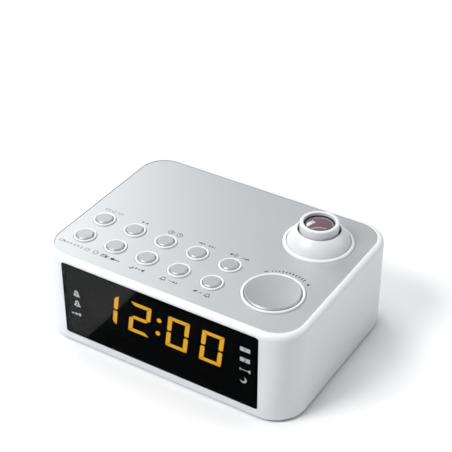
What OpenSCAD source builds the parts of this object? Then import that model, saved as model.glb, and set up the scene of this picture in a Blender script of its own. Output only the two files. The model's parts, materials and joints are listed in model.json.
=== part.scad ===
// Projection alarm clock: a box-shaped clock radio with an LED display behind a smoked
// window, keys on the top plate and a swivelling projector in the rear corner.
// Millimetres. X runs to the right, Y to the back, Z up. The origin is on the surface that
// the clock stands on, under the middle of the cabinet. The display faces -Y.

/* [Cabinet] */
// Width of the cabinet, side to side
body_w = 172; // [160:1:190]
// Depth of the cabinet, front to back
body_d = 126; // [122:1:145]
// Height of the cabinet without its feet
body_h = 59.6; // [59:0.2:78]
// Radius of the four upright corners
corner_r = 20; // [16:0.5:22]
// Thickness of the cabinet walls
wall = 2.6; // [2.2:0.1:3]
// Rounding of the rim around the top plate
top_round = 3.1; // [1:0.1:3.4]
// Rounding of the cabinet's bottom edge
bottom_round = 1; // [0.5:0.1:1.6]
// Thickness of the deck under the top plate
deck_t = 2.2; // [1.8:0.1:3]
// Depth of the stiffening ribs on the inside of the walls
rib_depth = 3; // [2:0.5:4]
// Thickness of the stiffening ribs
rib_t = 1.2; // [0.8:0.1:1.6]
// Number of ribs along the rear wall
rib_count = 5; // [2:1:7]

/* [Top plate] */
// Width of the white rim around the top plate
rim_w = 4.1; // [3.5:0.1:5]
// Thickness of the top plate
plate_t = 1; // [0.6:0.1:1.6]
// How far the top plate lies below the rim
plate_drop = 0.3; // [0.1:0.1:0.8]
// Gap around the top plate and around each ring that passes through it
plate_gap = 0.15; // [0.1:0.05:0.3]

/* [Window] */
// Distance of the front window from the cabinet's left and right sides
win_from_side = 19.25; // [18.5:0.25:24]
// Height of the front window
win_h = 51.2; // [46:0.2:52.4]
// Distance from the top plate down to the window's upper edge
win_drop = 2.95; // [2.8:0.05:4]
// Corner radius of the window
win_r = 3; // [1:0.5:6]
// Thickness of the window pane
pane_t = 1.5; // [1:0.1:1.8]
// How far the pane lies behind the front face
pane_inset = 0.25; // [0.1:0.05:0.5]
// Width of the ledge that the pane is bonded to
ledge_w = 2; // [1.2:0.1:3]
// Thickness of the printed mask behind the pane
mask_t = 0.5; // [0.3:0.1:0.6]

/* [Display] */
// Height of a digit
digit_h = 22; // [18:0.1:26]
// Width of a digit across its foot
digit_w = 14.2; // [11:0.1:16]
// Width of an upright segment
segment_w = 2.7; // [2:0.1:3.4]
// Thickness of a segment that lies flat
segment_t = 2.3; // [1.8:0.1:3]
// Gap between neighbouring segments
segment_gap = 0.4; // [0.3:0.05:0.8]
// Lean of the digits, in degrees
digit_lean = 7.5; // [0:0.5:10]
// Distance between the two digits of a pair
digit_pitch = 22.6; // [20.5:0.1:23.2]
// Distance between the digits on either side of the colon
colon_pitch = 25.8; // [24:0.1:27]
// Diameter of a colon dot
colon_d = 3; // [2:0.1:3.6]
// Distance between the two colon dots
colon_spread = 9.7; // [7:0.1:12]
// Distance of the digits from the cabinet's middle, to the left
digit_aside = 1.4; // [0:0.1:3]
// Distance from the top plate down to the middle of the digits
digit_drop = 26; // [24:0.1:30]
// Distance of the lit face behind the cabinet's front face
led_setback = 3.5; // [2.8:0.1:4.5]
// Depth of the display's housing
led_depth = 7; // [5:0.5:9]
// Margin of the display's housing around its digits
led_margin = 4; // [3:0.5:5]
// Depth of the light pockets in the display's face
pocket_depth = 1.4; // [0.8:0.1:2.5]

/* [Keys] */
// Radius of a key's cap
key_r = 5.1; // [4.5:0.1:5.8]
// Width of the raised ring around a key
key_ring_w = 1.5; // [1:0.1:1.8]
// How far the rings stand above the top plate
key_ring_rise = 0.9; // [0.9:0.1:1.2]
// How far a key's cap stands above the top plate
key_rise = 1.5; // [1.2:0.1:2.4]
// Bevel on the caps of the keys
key_bevel = 0.5; // [0.2:0.1:0.8]
// Gap between a cap and its ring
key_gap = 0.3; // [0.2:0.05:0.4]
// Travel of a key
key_travel = 0.8; // [0.5:0.1:1]
// Distance from the last column of keys to the snooze key's axis
key_to_snooze = 33.9; // [32.5:0.1:36]
// Distance between the rows of keys
key_pitch_y = 19.3; // [18:0.1:22]
// Distance of the first column from the cabinet's left side
key_from_side = 18.7; // [18:0.1:20]
// Distance of the front row from the cabinet's front
key_from_front = 25.4; // [24:0.1:27]

/* [Snooze key] */
// Radius of the snooze key's cap
snooze_r = 16.05; // [14:0.05:16.6]
// Width of the ring around the snooze key
snooze_ring_w = 1.9; // [1.4:0.1:2]
// How far the ring stands above the top plate
snooze_ring_rise = 1.05; // [1:0.05:1.5]
// How far the cap's edge stands above the top plate
snooze_rise = 1.5; // [1.2:0.1:2.4]
// Depth of the hollow in the cap
snooze_dish = 0.9; // [0.4:0.1:1.2]
// Bevel on the cap
snooze_bevel = 0.7; // [0.3:0.1:1]
// Travel of the snooze key
snooze_travel = 1; // [0.6:0.1:1.2]
// Distance of the snooze key from the cabinet's right side
snooze_from_side = 31.3; // [28.5:0.1:32]
// Distance of the snooze key from the cabinet's front
snooze_from_front = 35; // [32:0.1:36]

/* [Projector] */
// Radius of the projector's ball
ball_r = 20.1; // [19.5:0.1:21]
// Wall of the ball
ball_wall = 2; // [1.5:0.1:2.6]
// Distance of the ball's centre below the top plate
ball_drop = 6; // [5.5:0.1:7]
// Gap between the ball and its seat
ball_gap = 0.3; // [0.2:0.05:0.4]
// Outer radius of the ring around the ball
ball_ring_r = 21.4; // [20.8:0.1:22]
// How far that ring stands above the top plate
ball_ring_rise = 1.1; // [1:0.1:1.4]
// Radius of the opening in the top of the ball
ball_mouth_r = 12.85; // [12:0.05:13]
// Distance of the projector's axis from the cabinet's right side
ball_from_side = 33.4; // [32.5:0.1:34.5]
// Distance of the projector's axis from the cabinet's back
ball_from_back = 34.1; // [33:0.1:37]
// Greatest tilt of the projector, in degrees
ball_tilt = 20; // [10:1:20]
// Radius of the ball's two trunnions
trunnion_r = 1.6; // [1.2:0.1:2]
// Wall of the cradle that carries the ball
cradle_wall = 3.8; // [3:0.1:4]
// Thickness of the ring that holds the cradle up
retainer_t = 2; // [1.6:0.1:3]

/* [Focus] */
// Outer radius of the focus ring
focus_r = 11.6; // [11.3:0.1:11.8]
// Radius of the focus ring's bore
focus_bore_r = 9.3; // [8.8:0.1:9.4]
// Height of the focus ring's lip above the top plate
focus_rise = 14.4; // [13:0.1:17]
// Rounding of the focus ring's lip
focus_round = 0.9; // [0.4:0.1:1.1]
// Wall of the tube that the focus ring turns on
guide_wall = 1.1; // [0.9:0.05:1.2]
// How far the lens cell lies below the focus ring's lip
lens_recess = 2.4; // [2:0.1:3.5]
// Radius of the projection lens
lens_r = 7.7; // [6.5:0.1:7.8]
// Thickness of the projection lens at its middle
lens_t = 3.2; // [2.6:0.1:4]

/* [Fits] */
// Radial clearance of a shaft or screw in its hole
fit_gap = 0.05; // [0.03:0.01:0.08]
// Gap between curved faces that move past each other
run_gap = 0.3; // [0.2:0.05:0.4]
// Gap between flat faces of pieces that slide
slide_gap = 0.1; // [0.05:0.05:0.2]

/* [Base] */
// Thickness of the base cover
base_t = 2.4; // [2:0.1:3]
// Gap around the base cover
base_gap = 0.2; // [0.1:0.05:0.4]
// How far the base cover lies inside the cabinet's bottom edge
base_inset = 0.3; // [0:0.1:0.6]
// Radius of a rubber foot
foot_r = 6; // [5:0.5:7]
// How far the feet hold the cabinet off the table
foot_out = 1.5; // [1:0.1:3]
// Depth of the feet's seats in the base cover
foot_seat = 0.8; // [0.5:0.1:1.2]
// Distance of the feet from the cabinet's left and right sides
foot_from_side = 20; // [18:0.5:22]
// Distance of the feet from the cabinet's front and back
foot_from_front = 14; // [12:0.5:15]
// Radius of the posts that take the case screws
post_r = 3.4; // [3:0.1:3.8]
// Radius of a case screw's shank
case_screw_r = 1.25; // [1:0.05:1.5]
// Radius of a case screw's head
case_head_r = 2.6; // [2.4:0.1:3]
// Length of a case screw under its head
case_screw_l = 10; // [8:0.5:14]

/* [Battery] */
// Radius of the coin cell that keeps the time
cell_r = 10; // [9.8:0.1:10.2]
// Thickness of the coin cell
cell_t = 3.2; // [2.5:0.1:3.2]
// Radius of the battery hatch
hatch_r = 12.6; // [12.4:0.1:13.4]
// Thickness of the battery hatch
hatch_t = 1.2; // [1:0.1:1.4]
// Turn that frees the battery hatch, in degrees
hatch_turn = 35; // [30:1:45]
// Distance of the battery hatch from the cabinet's left side
hatch_from_side = 38; // [37:0.5:44]
// Distance of the battery hatch from the cabinet's front
hatch_from_front = 38; // [36:0.5:42]

/* [Speaker] */
// Outer radius of the loudspeaker
speaker_r = 28.5; // [25:0.5:29]
// Overall depth of the loudspeaker
speaker_h = 17; // [15:0.5:20]
// Radius of the loudspeaker's magnet
magnet_r = 13; // [10:0.5:14]
// Thickness of the loudspeaker's magnet
magnet_t = 6; // [5:0.5:7]
// Distance of the loudspeaker from the cabinet's right side
speaker_from_side = 46; // [44:0.5:48]
// Distance of the loudspeaker from the cabinet's front
speaker_from_front = 55; // [52:0.5:60]
// Width of a slot of the loudspeaker's grille
slot_w = 2; // [1.4:0.1:2.4]
// Distance between the grille's slots
slot_pitch = 4.5; // [4:0.1:6]

/* [Boards] */
// Thickness of the circuit boards
board_t = 1.6; // [1:0.1:2]
// Radius of the screws that hold the boards
board_screw_r = 1.05; // [0.9:0.05:1.2]
// Radius of those screws' heads
board_head_r = 2.1; // [2:0.1:2.4]
// Radius of the bosses that the boards stand on
boss_r = 2.6; // [2.4:0.1:3]
// Width of a tact switch
switch_w = 6; // [5:0.5:6.5]
// Height of a tact switch
switch_h = 3.6; // [3.6:0.1:5]
// Width of the main board
main_w = 72; // [66:1:74]
// Depth of the main board
main_d = 50; // [44:1:51]
// Height of the main board above the base cover
main_up = 6; // [5:0.5:8]

/* [Rear sockets] */
// Radius of the audio socket's bore, for a 3.5 mm plug
aux_bore_r = 1.8; // [1.77:0.01:1.85]
// Depth of the audio socket's bore
aux_depth = 14; // [12:0.5:16]
// Radius of the audio socket's nose
aux_nose_r = 3; // [2.8:0.1:3.6]
// Radius of the power socket's bore, for a 5.5 mm plug
power_bore_r = 2.85; // [2.8:0.05:3]
// Radius of the power socket's centre pin
power_pin_r = 1; // [0.8:0.05:1.1]
// Radius of the power socket's nose
power_nose_r = 4.2; // [4:0.1:4.6]
// Distance between the power socket and the audio socket
socket_pitch = 18; // [16:0.5:22]
// Distance of the power socket from the cabinet's left side
power_from_side = 31; // [29:0.5:33]
// Radius of the wire hole in the aerial's gland
aerial_r = 0.9; // [0.6:0.05:1.2]

/* [Hidden] */
KEYS = [
    ["projection_key", 0, 0], ["source_key", 1, 0], ["sleep_key", 2, 0],
    ["alarm_1_key", 3, 0], ["alarm_2_key", 4, 0],
    ["rotate_key", 0, 1], ["band_key", 1, 1], ["clock_key", 2, 1],
    ["tuning_key", 3, 1], ["volume_key", 4, 1],
];
$fn = 96;
// Overlap that joins shapes of one piece and carries cuts past its faces
lap = 0.5;
// Gap between a fixed piece and the rim, wall or boss beside it
seat_gap = 0.3;

// Heights, from the table up
base_z = foot_out;
rim_top = base_z + body_h;
plate_top = rim_top - plate_drop;
deck_top = plate_top - plate_t;
deck_under = deck_top - deck_t;
deck_mid = deck_top - deck_t / 2;
cover_z = base_z + base_inset;
cover_top = cover_z + base_t;

// Inside of the cabinet
in_w = body_w - 2 * wall;
in_d = body_d - 2 * wall;
in_r = corner_r - wall;
front_y = -body_d / 2;
back_y = body_d / 2;
front_in = front_y + wall;
back_in = back_y - wall;

// Window and display, measured from the front face
win_w = body_w - 2 * win_from_side;
win_top = plate_top - win_drop;
win_mid = win_top - win_h / 2;
pane_y = front_y + pane_inset;
pane_back = pane_y + pane_t;
mask_y = pane_back + slide_gap;
led_y = front_y + led_setback;
led_z = plate_top - digit_drop;
lean = tan(digit_lean);
digit_x = [-colon_pitch / 2 - digit_pitch, -colon_pitch / 2, colon_pitch / 2,
    colon_pitch / 2 + digit_pitch];
led_w = 2 * digit_pitch + colon_pitch + digit_w + 2 * led_margin;
led_h = digit_h + 2 * led_margin;
display_board_y = led_y + led_depth;

// Segments of a digit, in the order top, upper right, lower right, foot, lower left,
// upper left, middle, and the numbers that show 12:00
SHOWN = [
    [0, 1, 1, 0, 0, 0, 0], [1, 1, 0, 1, 1, 0, 1],
    [1, 1, 1, 1, 1, 1, 0], [1, 1, 1, 1, 1, 1, 0],
];
segment_proud = 0.1;
segment_play = 0.08;
segment_nick = 0.7 * segment_gap;
segment_waist = 0.6;
segment_blunt = 0.5;
segment_spots = let (x = (digit_w - segment_w) / 2, z = (digit_h - segment_t) / 2) [
    [0, z, 0], [x, z / 2, 90], [x, -z / 2, 90], [0, -z, 0],
    [-x, -z / 2, 90], [-x, z / 2, 90], [0, 0, 0],
];

// Keys: places, and the heights of what they work
snooze_x = body_w / 2 - snooze_from_side;
snooze_y = front_y + snooze_from_front;
key_x0 = -body_w / 2 + key_from_side;
key_y0 = front_y + key_from_front;
key_columns = 5;
key_pitch_x = (snooze_x - key_to_snooze - key_x0) / (key_columns - 1);
key_hole_r = key_r + key_gap;
flange_t = 1;
flange_lip = 1.1;
snooze_hole_r = snooze_r + key_gap;
most_travel = max(key_travel, snooze_travel);
switch_top = deck_under - flange_t - most_travel - run_gap;
key_board_top = switch_top - switch_h;
stem_r = switch_w / 4;
stem_in = 1.4;
stem_z = switch_top - stem_in;
switch_bore_d = stem_in + most_travel + run_gap;

// Key board: its edges, and the bosses that hold it to the deck
key_board_in = 8;
key_board_front = 1;
key_board_back = 3;
boss_margin = 0.5;
key_board_x = in_w / 2 - key_board_in;
key_board_y0 = key_y0 - key_ring_w - key_r - key_board_front;
key_board_y1 = key_y0 + key_pitch_y + key_r + key_ring_w + key_board_back;
row_mid = key_y0 + key_pitch_y / 2;
board_end = key_board_x - boss_r - boss_margin;
KEY_BOARD_SCREWS = [
    for (column = [0, 2, key_columns - 1]) [key_x0 + (column + 0.5) * key_pitch_x, row_mid],
    [board_end, key_board_y0 + boss_r + boss_margin],
    [board_end, key_board_y1 - boss_r - boss_margin],
];
board_screw_l = 6;
board_head_t = 1.4;

// Display board: its edges, the bosses that hold it to the front wall, and its lamps
display_board_side = 7;
display_board_up = 4;
display_board_down = 1;
display_boss_in = 4;
display_board_x = win_w / 2 + display_board_side;
display_board_z0 = cover_top + display_board_up;
display_board_z1 = key_board_top - board_t - display_board_down;
DISPLAY_BOARD_SCREWS = [
    for (x = [-1, 1], z = [display_board_z0 + display_boss_in, display_board_z1 - display_boss_in])
        [x * (display_board_x - display_boss_in), z]
];
lamp_chip = [2, 1.2, 0.8];
led_hollow = 2;

// Case screws, one near each corner
front_post_side = 0.6;
front_post_in = 27;
rear_post_side = 5;
rear_post_in = 4.4;
front_post_x = in_w / 2 - post_r - front_post_side;
front_post_y = front_y + front_post_in;
rear_post_x = in_w / 2 - post_r - rear_post_side;
rear_post_y = back_in - post_r - rear_post_in;
POSTS = [[-front_post_x, front_post_y], [front_post_x, front_post_y],
    [-rear_post_x, rear_post_y], [rear_post_x, rear_post_y]];
post_reach = 12;
base_rim_h = 3;
base_rim_w = 1.2;
base_rim_gap = 1.2;
rib_foot = cover_top + base_rim_h + 1;
case_head_t = 1.1;
head_seat = 1.2;

// Feet
foot_bevel = 0.6;
FEET = [for (x = [-1, 1], y = [-1, 1])
    [x * (body_w / 2 - foot_from_side), y * (body_d / 2 - foot_from_front)]];

// Projector: centre, seat, cradle and the ring that carries it
ball_x = body_w / 2 - ball_from_side;
ball_y = back_y - ball_from_back;
ball_z = plate_top - ball_drop;
seat_r = ball_r + ball_gap;
ball_ring_w = 3;
ball_in = ball_r - ball_wall;
cradle_in = ball_r + 2 * run_gap;
cradle_out = cradle_in + cradle_wall;
cradle_foot = 2;
skirt_wall = 1.4;
retainer_step = 0.8;
trunnion_in = 0.8;
cradle_z = ball_z - trunnion_r - cradle_foot;
skirt_in = cradle_out + run_gap;
skirt_out = skirt_in + skirt_wall;
retainer_z = cradle_z - retainer_t;
retainer_in = cradle_in + retainer_step;
ear_r = 3;
ear_out = skirt_out + ear_r - seat_gap;
EARS = [65, 140, 230, 320];
ball_cut = 12;
trunnion_end = cradle_out - trunnion_in;

// Inside of the ball, measured from its centre
web_t = 2;
web_drop = 2.2;
web_z = ball_drop - web_drop;
tunnel_wall = 1.5;
tunnel_z = -8;
lcd_ledge_z = 1.5;
lcd_ledge_t = 1.5;
lcd_w = 12.4;
lcd_t = 1.1;
guide_drop = 6.2;
guide_out = focus_bore_r + guide_wall;
focus_top = ball_drop + focus_rise;
focus_z = web_z + slide_gap;
guide_top = focus_top - guide_drop;
cell_lift = 3;
cell_out = focus_bore_r - run_gap;
cell_top = focus_top - lens_recess;
cell_z = web_z + cell_lift;
lens_lip = 0.6;
lens_seat = cell_top - lens_t - lens_lip;
lens_edge = 1.2;
lens_ledge = 1;
lug_w = 1.8;
lug_h = 2.4;
lug_up = 1.5;
lug_play = 0.1;
lamp_out = 1.6;
lamp_x = guide_out + lamp_out;
lamp_ear_r = 2.2;
lamp_ear_h = 6;
lamp_r = 2.5;
lamp_h = 6.2;
lamp_collar = [0.4, 1];
lamp_screw_r = 0.9;
lamp_screw_l = 4.5;
lamp_head_r = 1.7;
lamp_head_t = 1;
lamp_pilot = 5;
condenser_t = 2.6;
condenser_edge = 0.8;

// Battery: hatch, cup and cell, from the base cover up
hatch_x = -body_w / 2 + hatch_from_side;
hatch_y = front_y + hatch_from_front;
plug_r = cell_r + seat_gap;
mouth_r = plug_r + run_gap;
tab_reach = 1.2;
tab_r = mouth_r + tab_reach;
tab_t = 1.2;
tab_w = 5;
cup_r = tab_r + run_gap;
cup_wall = 1.5;
lip_top = cover_top;
tab_z = lip_top + slide_gap;
plug_top = tab_z + tab_t;
cell_z0 = plug_top;
contact_rise = 0.6;
cup_top = cell_z0 + cell_t + contact_rise;
contact_t = 0.4;
contact_w = 6;
contact_pad = 4;
coin_slot_w = 1.8;
coin_slot_d = 0.8;
cell_step = 1.2;
cell_round = 0.3;

// Loudspeaker
speaker_x = body_w / 2 - speaker_from_side;
speaker_y = front_y + speaker_from_front;
speaker_z = cover_top;
speaker_flange = 1;
speaker_boss_r = speaker_r + boss_r + seat_gap;
speaker_rim_w = 1.3;
speaker_neck = speaker_h - magnet_t;
basket_t = 1;
basket_rim = 3.2;
basket_window = 8;
basket_ribs = 6;
cone_t = 0.6;
cone_gap = 0.3;
coil_from_edge = 6.5;
coil_r = magnet_r - coil_from_edge;
coil_h = 2.4;
dust_cap = 2.4;
magnet_plate_t = 1.2;
magnet_plate_in = 1.5;
grille_in = 4;
grille_r = speaker_r - grille_in;
SPEAKER_SCREWS = [for (a = [45 : 90 : 315]) [speaker_boss_r * cos(a), speaker_boss_r * sin(a)]];

// Main board and the sockets at its rear edge
main_from_side = 15;
main_from_back = 6;
main_screw_in = 5;
main_screw_back = 14;
main_x0 = -body_w / 2 + main_from_side;
main_y1 = back_in - main_from_back;
main_y0 = main_y1 - main_d;
main_z = cover_top + main_up;
main_top = main_z + board_t;
MAIN_SCREWS = [for (x = [main_screw_in, main_w - main_screw_in],
        y = [main_screw_in, main_d - main_screw_back]) [main_x0 + x, main_y0 + y]];

// On the main board: tuner and chip, from the board's front left corner
tuner_size = [18, 12, 6];
tuner_place = [14, 12];
tuner_hole_r = 1.5;
tuner_hole_d = 2;
chip_size = [16, 7, 2.4];
chip_from_tuner = 2;
chip_x = main_x0 + tuner_place[0] + tuner_size[0] + chip_from_tuner + chip_size[0] / 2;
chip_legs = 10;
leg_pitch = 1.27;
leg_size = [0.4, 1.6, 0.5];
leg_out = 4.2;
// Capacitors on the main board: distance from its right edge, distance from its front, radius
CAPACITORS = [[18, 8, 4], [9, 9, 3.2], [17, 17, 2.5]];
capacitor_h = 9;
capacitor_vent = [0.5, 0.4];
power_x = -body_w / 2 + power_from_side;
aux_x = power_x + socket_pitch;
aerial_x = aux_x + socket_pitch;
gland_r = 3;
gland_lip = 1.2;
gland_lip_t = 1.4;
socket_up = 5.5;
socket_inset = 0.4;
socket_z = main_top + socket_up;
socket_y1 = back_y - socket_inset;
socket_front = back_in - seat_gap;
socket_depth = 16;
power_size = [9, 9.4];
power_depth = 11;
power_pin_in = 1.4;
aux_size = [10, 9];
rib_up = 12;
rib_z = socket_z + rib_up;
rib_pitch = 16;

// ---- shared shapes ----

// Upright block with rounded corners, standing on z = 0
module rounded_prism(w, d, h, r) {
    linear_extrude(h) rounded_outline(w, d, r);
}

module rounded_outline(w, d, r) {
    square([w - 2 * r, d], center = true);
    square([w, d - 2 * r], center = true);
    for (x = [-1, 1], y = [-1, 1])
        translate([x * (w / 2 - r), y * (d / 2 - r)]) circle(r);
}

// Cross-section of a rounded edge, with the rounded corner at (r, r)
module edge_profile(r) {
    difference() {
        translate([-lap, -lap]) square(lap + r);
        difference() {
            square(2 * r);
            circle(r);
        }
    }
}

// The band that rounds the top edge of a block, from z = -edge up to z = 0
module edge_band(w, d, r, edge) {
    translate([0, 0, -edge]) {
        for (s = [0, 180]) rotate([0, 0, s]) {
            translate([-(w / 2 - r), -(d / 2 - edge), 0]) rotate([90, 0, 90])
                linear_extrude(w - 2 * r) mirror([1, 0]) edge_profile(edge);
            translate([w / 2 - edge, d / 2 - r, 0]) rotate([90, 0, 0])
                linear_extrude(d - 2 * r) edge_profile(edge);
        }
        for (x = [-1, 1], y = [-1, 1])
            translate([x * (w / 2 - r), y * (d / 2 - r), 0])
                rotate([0, 0, x > 0 ? (y > 0 ? 0 : 270) : (y > 0 ? 90 : 180)])
                    rotate_extrude(angle = 90) translate([r - edge, 0]) edge_profile(edge);
    }
}

// Block with upright rounded corners and rounded top and bottom edges
module rounded_block(w, d, h, r, top, bottom) {
    translate([0, 0, bottom]) rounded_prism(w, d, h - top - bottom, r);
    rounded_prism(w - 2 * top, d - 2 * top, h, r - top);
    rounded_prism(w - 2 * bottom, d - 2 * bottom, h - top, r - bottom);
    translate([0, 0, h]) edge_band(w, d, r, top);
    mirror([0, 0, 1]) edge_band(w, d, r, bottom);
}

// A raised ring with a rounded top, standing on the deck. z = 0 is the plate's top
module raised_ring(r_in, w, rise) {
    rotate_extrude() {
        translate([r_in, -plate_t - lap]) square([w, plate_t + lap + rise - w / 2]);
        translate([r_in + w / 2, rise - w / 2]) circle(w / 2);
    }
}

// Tube from z = 0 up
module tube(r_out, r_in, h) {
    difference() {
        cylinder(h = h, r = r_out);
        translate([0, 0, -lap]) cylinder(h = h + 2 * lap, r = r_in);
    }
}

// Places a child at each point of a list
module at(points) {
    for (p = points) translate([p[0], p[1], 0]) children();
}

// Places a child at each key
module at_keys() {
    for (k = KEYS)
        translate([key_x0 + k[1] * key_pitch_x, key_y0 + k[2] * key_pitch_y, 0]) children();
}

// A pan-head screw along +Z, with the underside of its head at z = 0
module screw(shank_r, head_r, head_t, length) {
    translate([0, 0, -lap]) cylinder(h = length + lap, r = shank_r);
    difference() {
        translate([0, 0, -head_t]) cylinder(h = head_t, r = head_r);
        for (a = [0, 90]) rotate([0, 0, a])
            translate([-head_r * 0.6, -shank_r * 0.2, -head_t - lap])
                cube([head_r * 1.2, shank_r * 0.4, head_t * 0.5 + lap]);
    }
}

// ---- casing ----

module cabinet() {
    color("white") difference() {
        union() {
            cabinet_shell();
            cabinet_rings();
            cabinet_inside();
        }
        cabinet_holes();
    }
}

module cabinet_shell() {
    difference() {
        translate([0, 0, base_z])
            rounded_block(body_w, body_d, body_h, corner_r, top_round, bottom_round);
        translate([0, 0, base_z - lap])
            rounded_prism(in_w, in_d, deck_under - base_z + lap, in_r);
        translate([0, 0, deck_top])
            rounded_prism(body_w - 2 * rim_w, body_d - 2 * rim_w, 2 * plate_t + plate_drop,
                corner_r - rim_w);
    }
}

module cabinet_rings() {
    translate([0, 0, plate_top]) {
        at_keys() raised_ring(key_hole_r, key_ring_w, key_ring_rise);
        translate([snooze_x, snooze_y, 0])
            raised_ring(snooze_hole_r, snooze_ring_w, snooze_ring_rise);
        translate([ball_x, ball_y, 0])
            raised_ring(ball_ring_r - ball_ring_w, ball_ring_w, ball_ring_rise);
    }
}

module cabinet_inside() {
    // Posts for the case screws, with ribs that tie them to the side walls
    at(POSTS) translate([0, 0, cover_top]) cylinder(h = deck_mid - cover_top, r = post_r);
    intersection() {
        rounded_prism(body_w - wall, body_d - wall, deck_mid, corner_r - wall / 2);
        for (p = POSTS) translate([p[0] > 0 ? p[0] : p[0] - post_reach, p[1] - rib_t / 2, rib_foot])
            cube([post_reach, rib_t, deck_mid - rib_foot]);
    }
    // Bosses for the key board
    at(KEY_BOARD_SCREWS) translate([0, 0, key_board_top])
        cylinder(h = deck_mid - key_board_top, r = boss_r);
    // Bosses for the display board
    for (p = DISPLAY_BOARD_SCREWS)
        translate([p[0], display_board_y, p[1]]) rotate([90, 0, 0])
            cylinder(h = display_board_y - front_in + lap, r = boss_r);
    // Skirt that the projector's cradle turns in, and the ears for its retainer
    translate([ball_x, ball_y, cradle_z]) {
        tube(skirt_out, skirt_in, deck_mid - cradle_z);
        for (a = EARS) rotate([0, 0, a]) translate([ear_out, 0, 0])
            cylinder(h = deck_mid - cradle_z, r = ear_r);
    }
    // Ribs on the rear wall
    for (i = [0 : rib_count - 1])
        translate([-in_w / 2 + in_r + i * rib_pitch - rib_t / 2, back_in - rib_depth, rib_z])
            cube([rib_t, rib_depth + lap, deck_mid - rib_z]);
}

module cabinet_holes() {
    // Keys
    translate([0, 0, deck_under - lap]) {
        at_keys() cylinder(h = 3 * deck_t + plate_t, r = key_hole_r);
        translate([snooze_x, snooze_y, 0])
            cylinder(h = 3 * deck_t + plate_t, r = snooze_hole_r);
    }
    // Ball seat
    translate([ball_x, ball_y, ball_z]) sphere(seat_r);
    // Window: recess for the pane, and the opening behind it
    translate([0, front_y, win_mid]) {
        rotate([90, 0, 0]) translate([0, 0, -pane_inset - pane_t])
            rounded_prism(win_w, win_h, pane_inset + pane_t + lap, win_r);
        rotate([90, 0, 0]) translate([0, 0, -wall - lap])
            rounded_prism(win_w - 2 * ledge_w, win_h - 2 * ledge_w, wall + 2 * lap,
                max(win_r - ledge_w, lap));
    }
    // Pilot holes
    at(POSTS) translate([0, 0, cover_top - lap])
        cylinder(h = case_screw_l + lap, r = case_screw_r + fit_gap);
    at(KEY_BOARD_SCREWS) translate([0, 0, key_board_top - lap])
        cylinder(h = board_screw_l, r = board_screw_r + fit_gap);
    for (p = DISPLAY_BOARD_SCREWS)
        translate([p[0], display_board_y + lap, p[1]]) rotate([90, 0, 0])
            cylinder(h = board_screw_l, r = board_screw_r + fit_gap);
    translate([ball_x, ball_y, cradle_z - lap]) for (a = EARS) rotate([0, 0, a])
        translate([ear_out, 0, 0]) cylinder(h = board_screw_l + lap, r = board_screw_r + fit_gap);
    // Rear sockets
    for (s = [[power_x, power_nose_r], [aux_x, aux_nose_r], [aerial_x, gland_r]])
        translate([s[0], back_y + lap, socket_z]) rotate([90, 0, 0])
            cylinder(h = wall + 2 * lap, r = s[1] + fit_gap);
}

module top_plate() {
    color("silver") translate([0, 0, deck_top]) difference() {
        rounded_prism(body_w - 2 * rim_w - 2 * plate_gap, body_d - 2 * rim_w - 2 * plate_gap,
            plate_t, corner_r - rim_w - plate_gap);
        translate([0, 0, -lap]) {
            at_keys() cylinder(h = plate_t + 2 * lap, r = key_hole_r + key_ring_w + plate_gap);
            translate([snooze_x, snooze_y, 0])
                cylinder(h = plate_t + 2 * lap, r = snooze_hole_r + snooze_ring_w + plate_gap);
            translate([ball_x, ball_y, 0])
                cylinder(h = plate_t + 2 * lap, r = ball_ring_r + plate_gap);
        }
    }
}

module front_window() {
    color([0.05, 0.05, 0.06]) translate([0, pane_back, win_mid]) rotate([90, 0, 0])
        rounded_prism(win_w - 2 * plate_gap, win_h - 2 * plate_gap, pane_t, win_r - plate_gap);
}

// ---- display ----

module display_mask() {
    color([0.03, 0.03, 0.03]) translate([0, mask_y + mask_t, win_mid]) rotate([90, 0, 0])
        difference() {
            rounded_prism(win_w - 2 * ledge_w - 2 * plate_gap, win_h - 2 * ledge_w - 2 * plate_gap,
                mask_t, max(win_r - ledge_w, lap));
            translate([-digit_aside - led_w / 2, led_z - win_mid - led_h / 2, -lap])
                cube([led_w, led_h, mask_t + 2 * lap]);
        }
}

// Outline of an upright segment: mitred at the digit's corner, blunt at its middle. It grows
// by $grow on every side, as the outlines below do.
module upright_segment(side, up) {
    outer = digit_w / 2 + $grow;
    inner = digit_w / 2 - segment_w - $grow;
    corner = digit_h / 2 - segment_nick;
    shoulder = segment_waist + segment_blunt - $grow / 2;
    points = [
        [outer, corner + 2 * $grow], [inner, corner - segment_t], [inner, shoulder],
        [(outer + inner) / 2, segment_waist - $grow], [outer, shoulder]
    ];
    polygon([for (p = points) [side * p[0], up * p[1]]]);
}

// Outline of the segment along a digit's head or foot, with mitred ends
module flat_segment(up) {
    outer = digit_h / 2 + $grow;
    inner = digit_h / 2 - segment_t - $grow;
    long = digit_w / 2 - segment_nick + 2 * $grow;
    short = digit_w / 2 - segment_w - segment_nick;
    polygon([[-long, up * outer], [long, up * outer], [short, up * inner], [-short, up * inner]]);
}

// Outline of the segment across a digit's middle, pointed at both ends
module middle_segment() {
    half = segment_t / 2 + $grow;
    tip = (digit_w - segment_w) / 2 - segment_nick + $grow;
    shoulder = digit_w / 2 - segment_w - 2 * segment_nick;
    polygon([[-tip, 0], [-shoulder, half], [shoulder, half],
        [tip, 0], [shoulder, -half], [-shoulder, -half]]);
}

// Segment number n of a digit that is centred on the origin and stands upright
module segment_place(n) {
    s = segment_spots[n];
    if (s[0] != 0) upright_segment(sign(s[0]), sign(s[1]));
    else if (s[1] != 0) flat_segment(sign(s[1]));
    else middle_segment();
}

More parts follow.
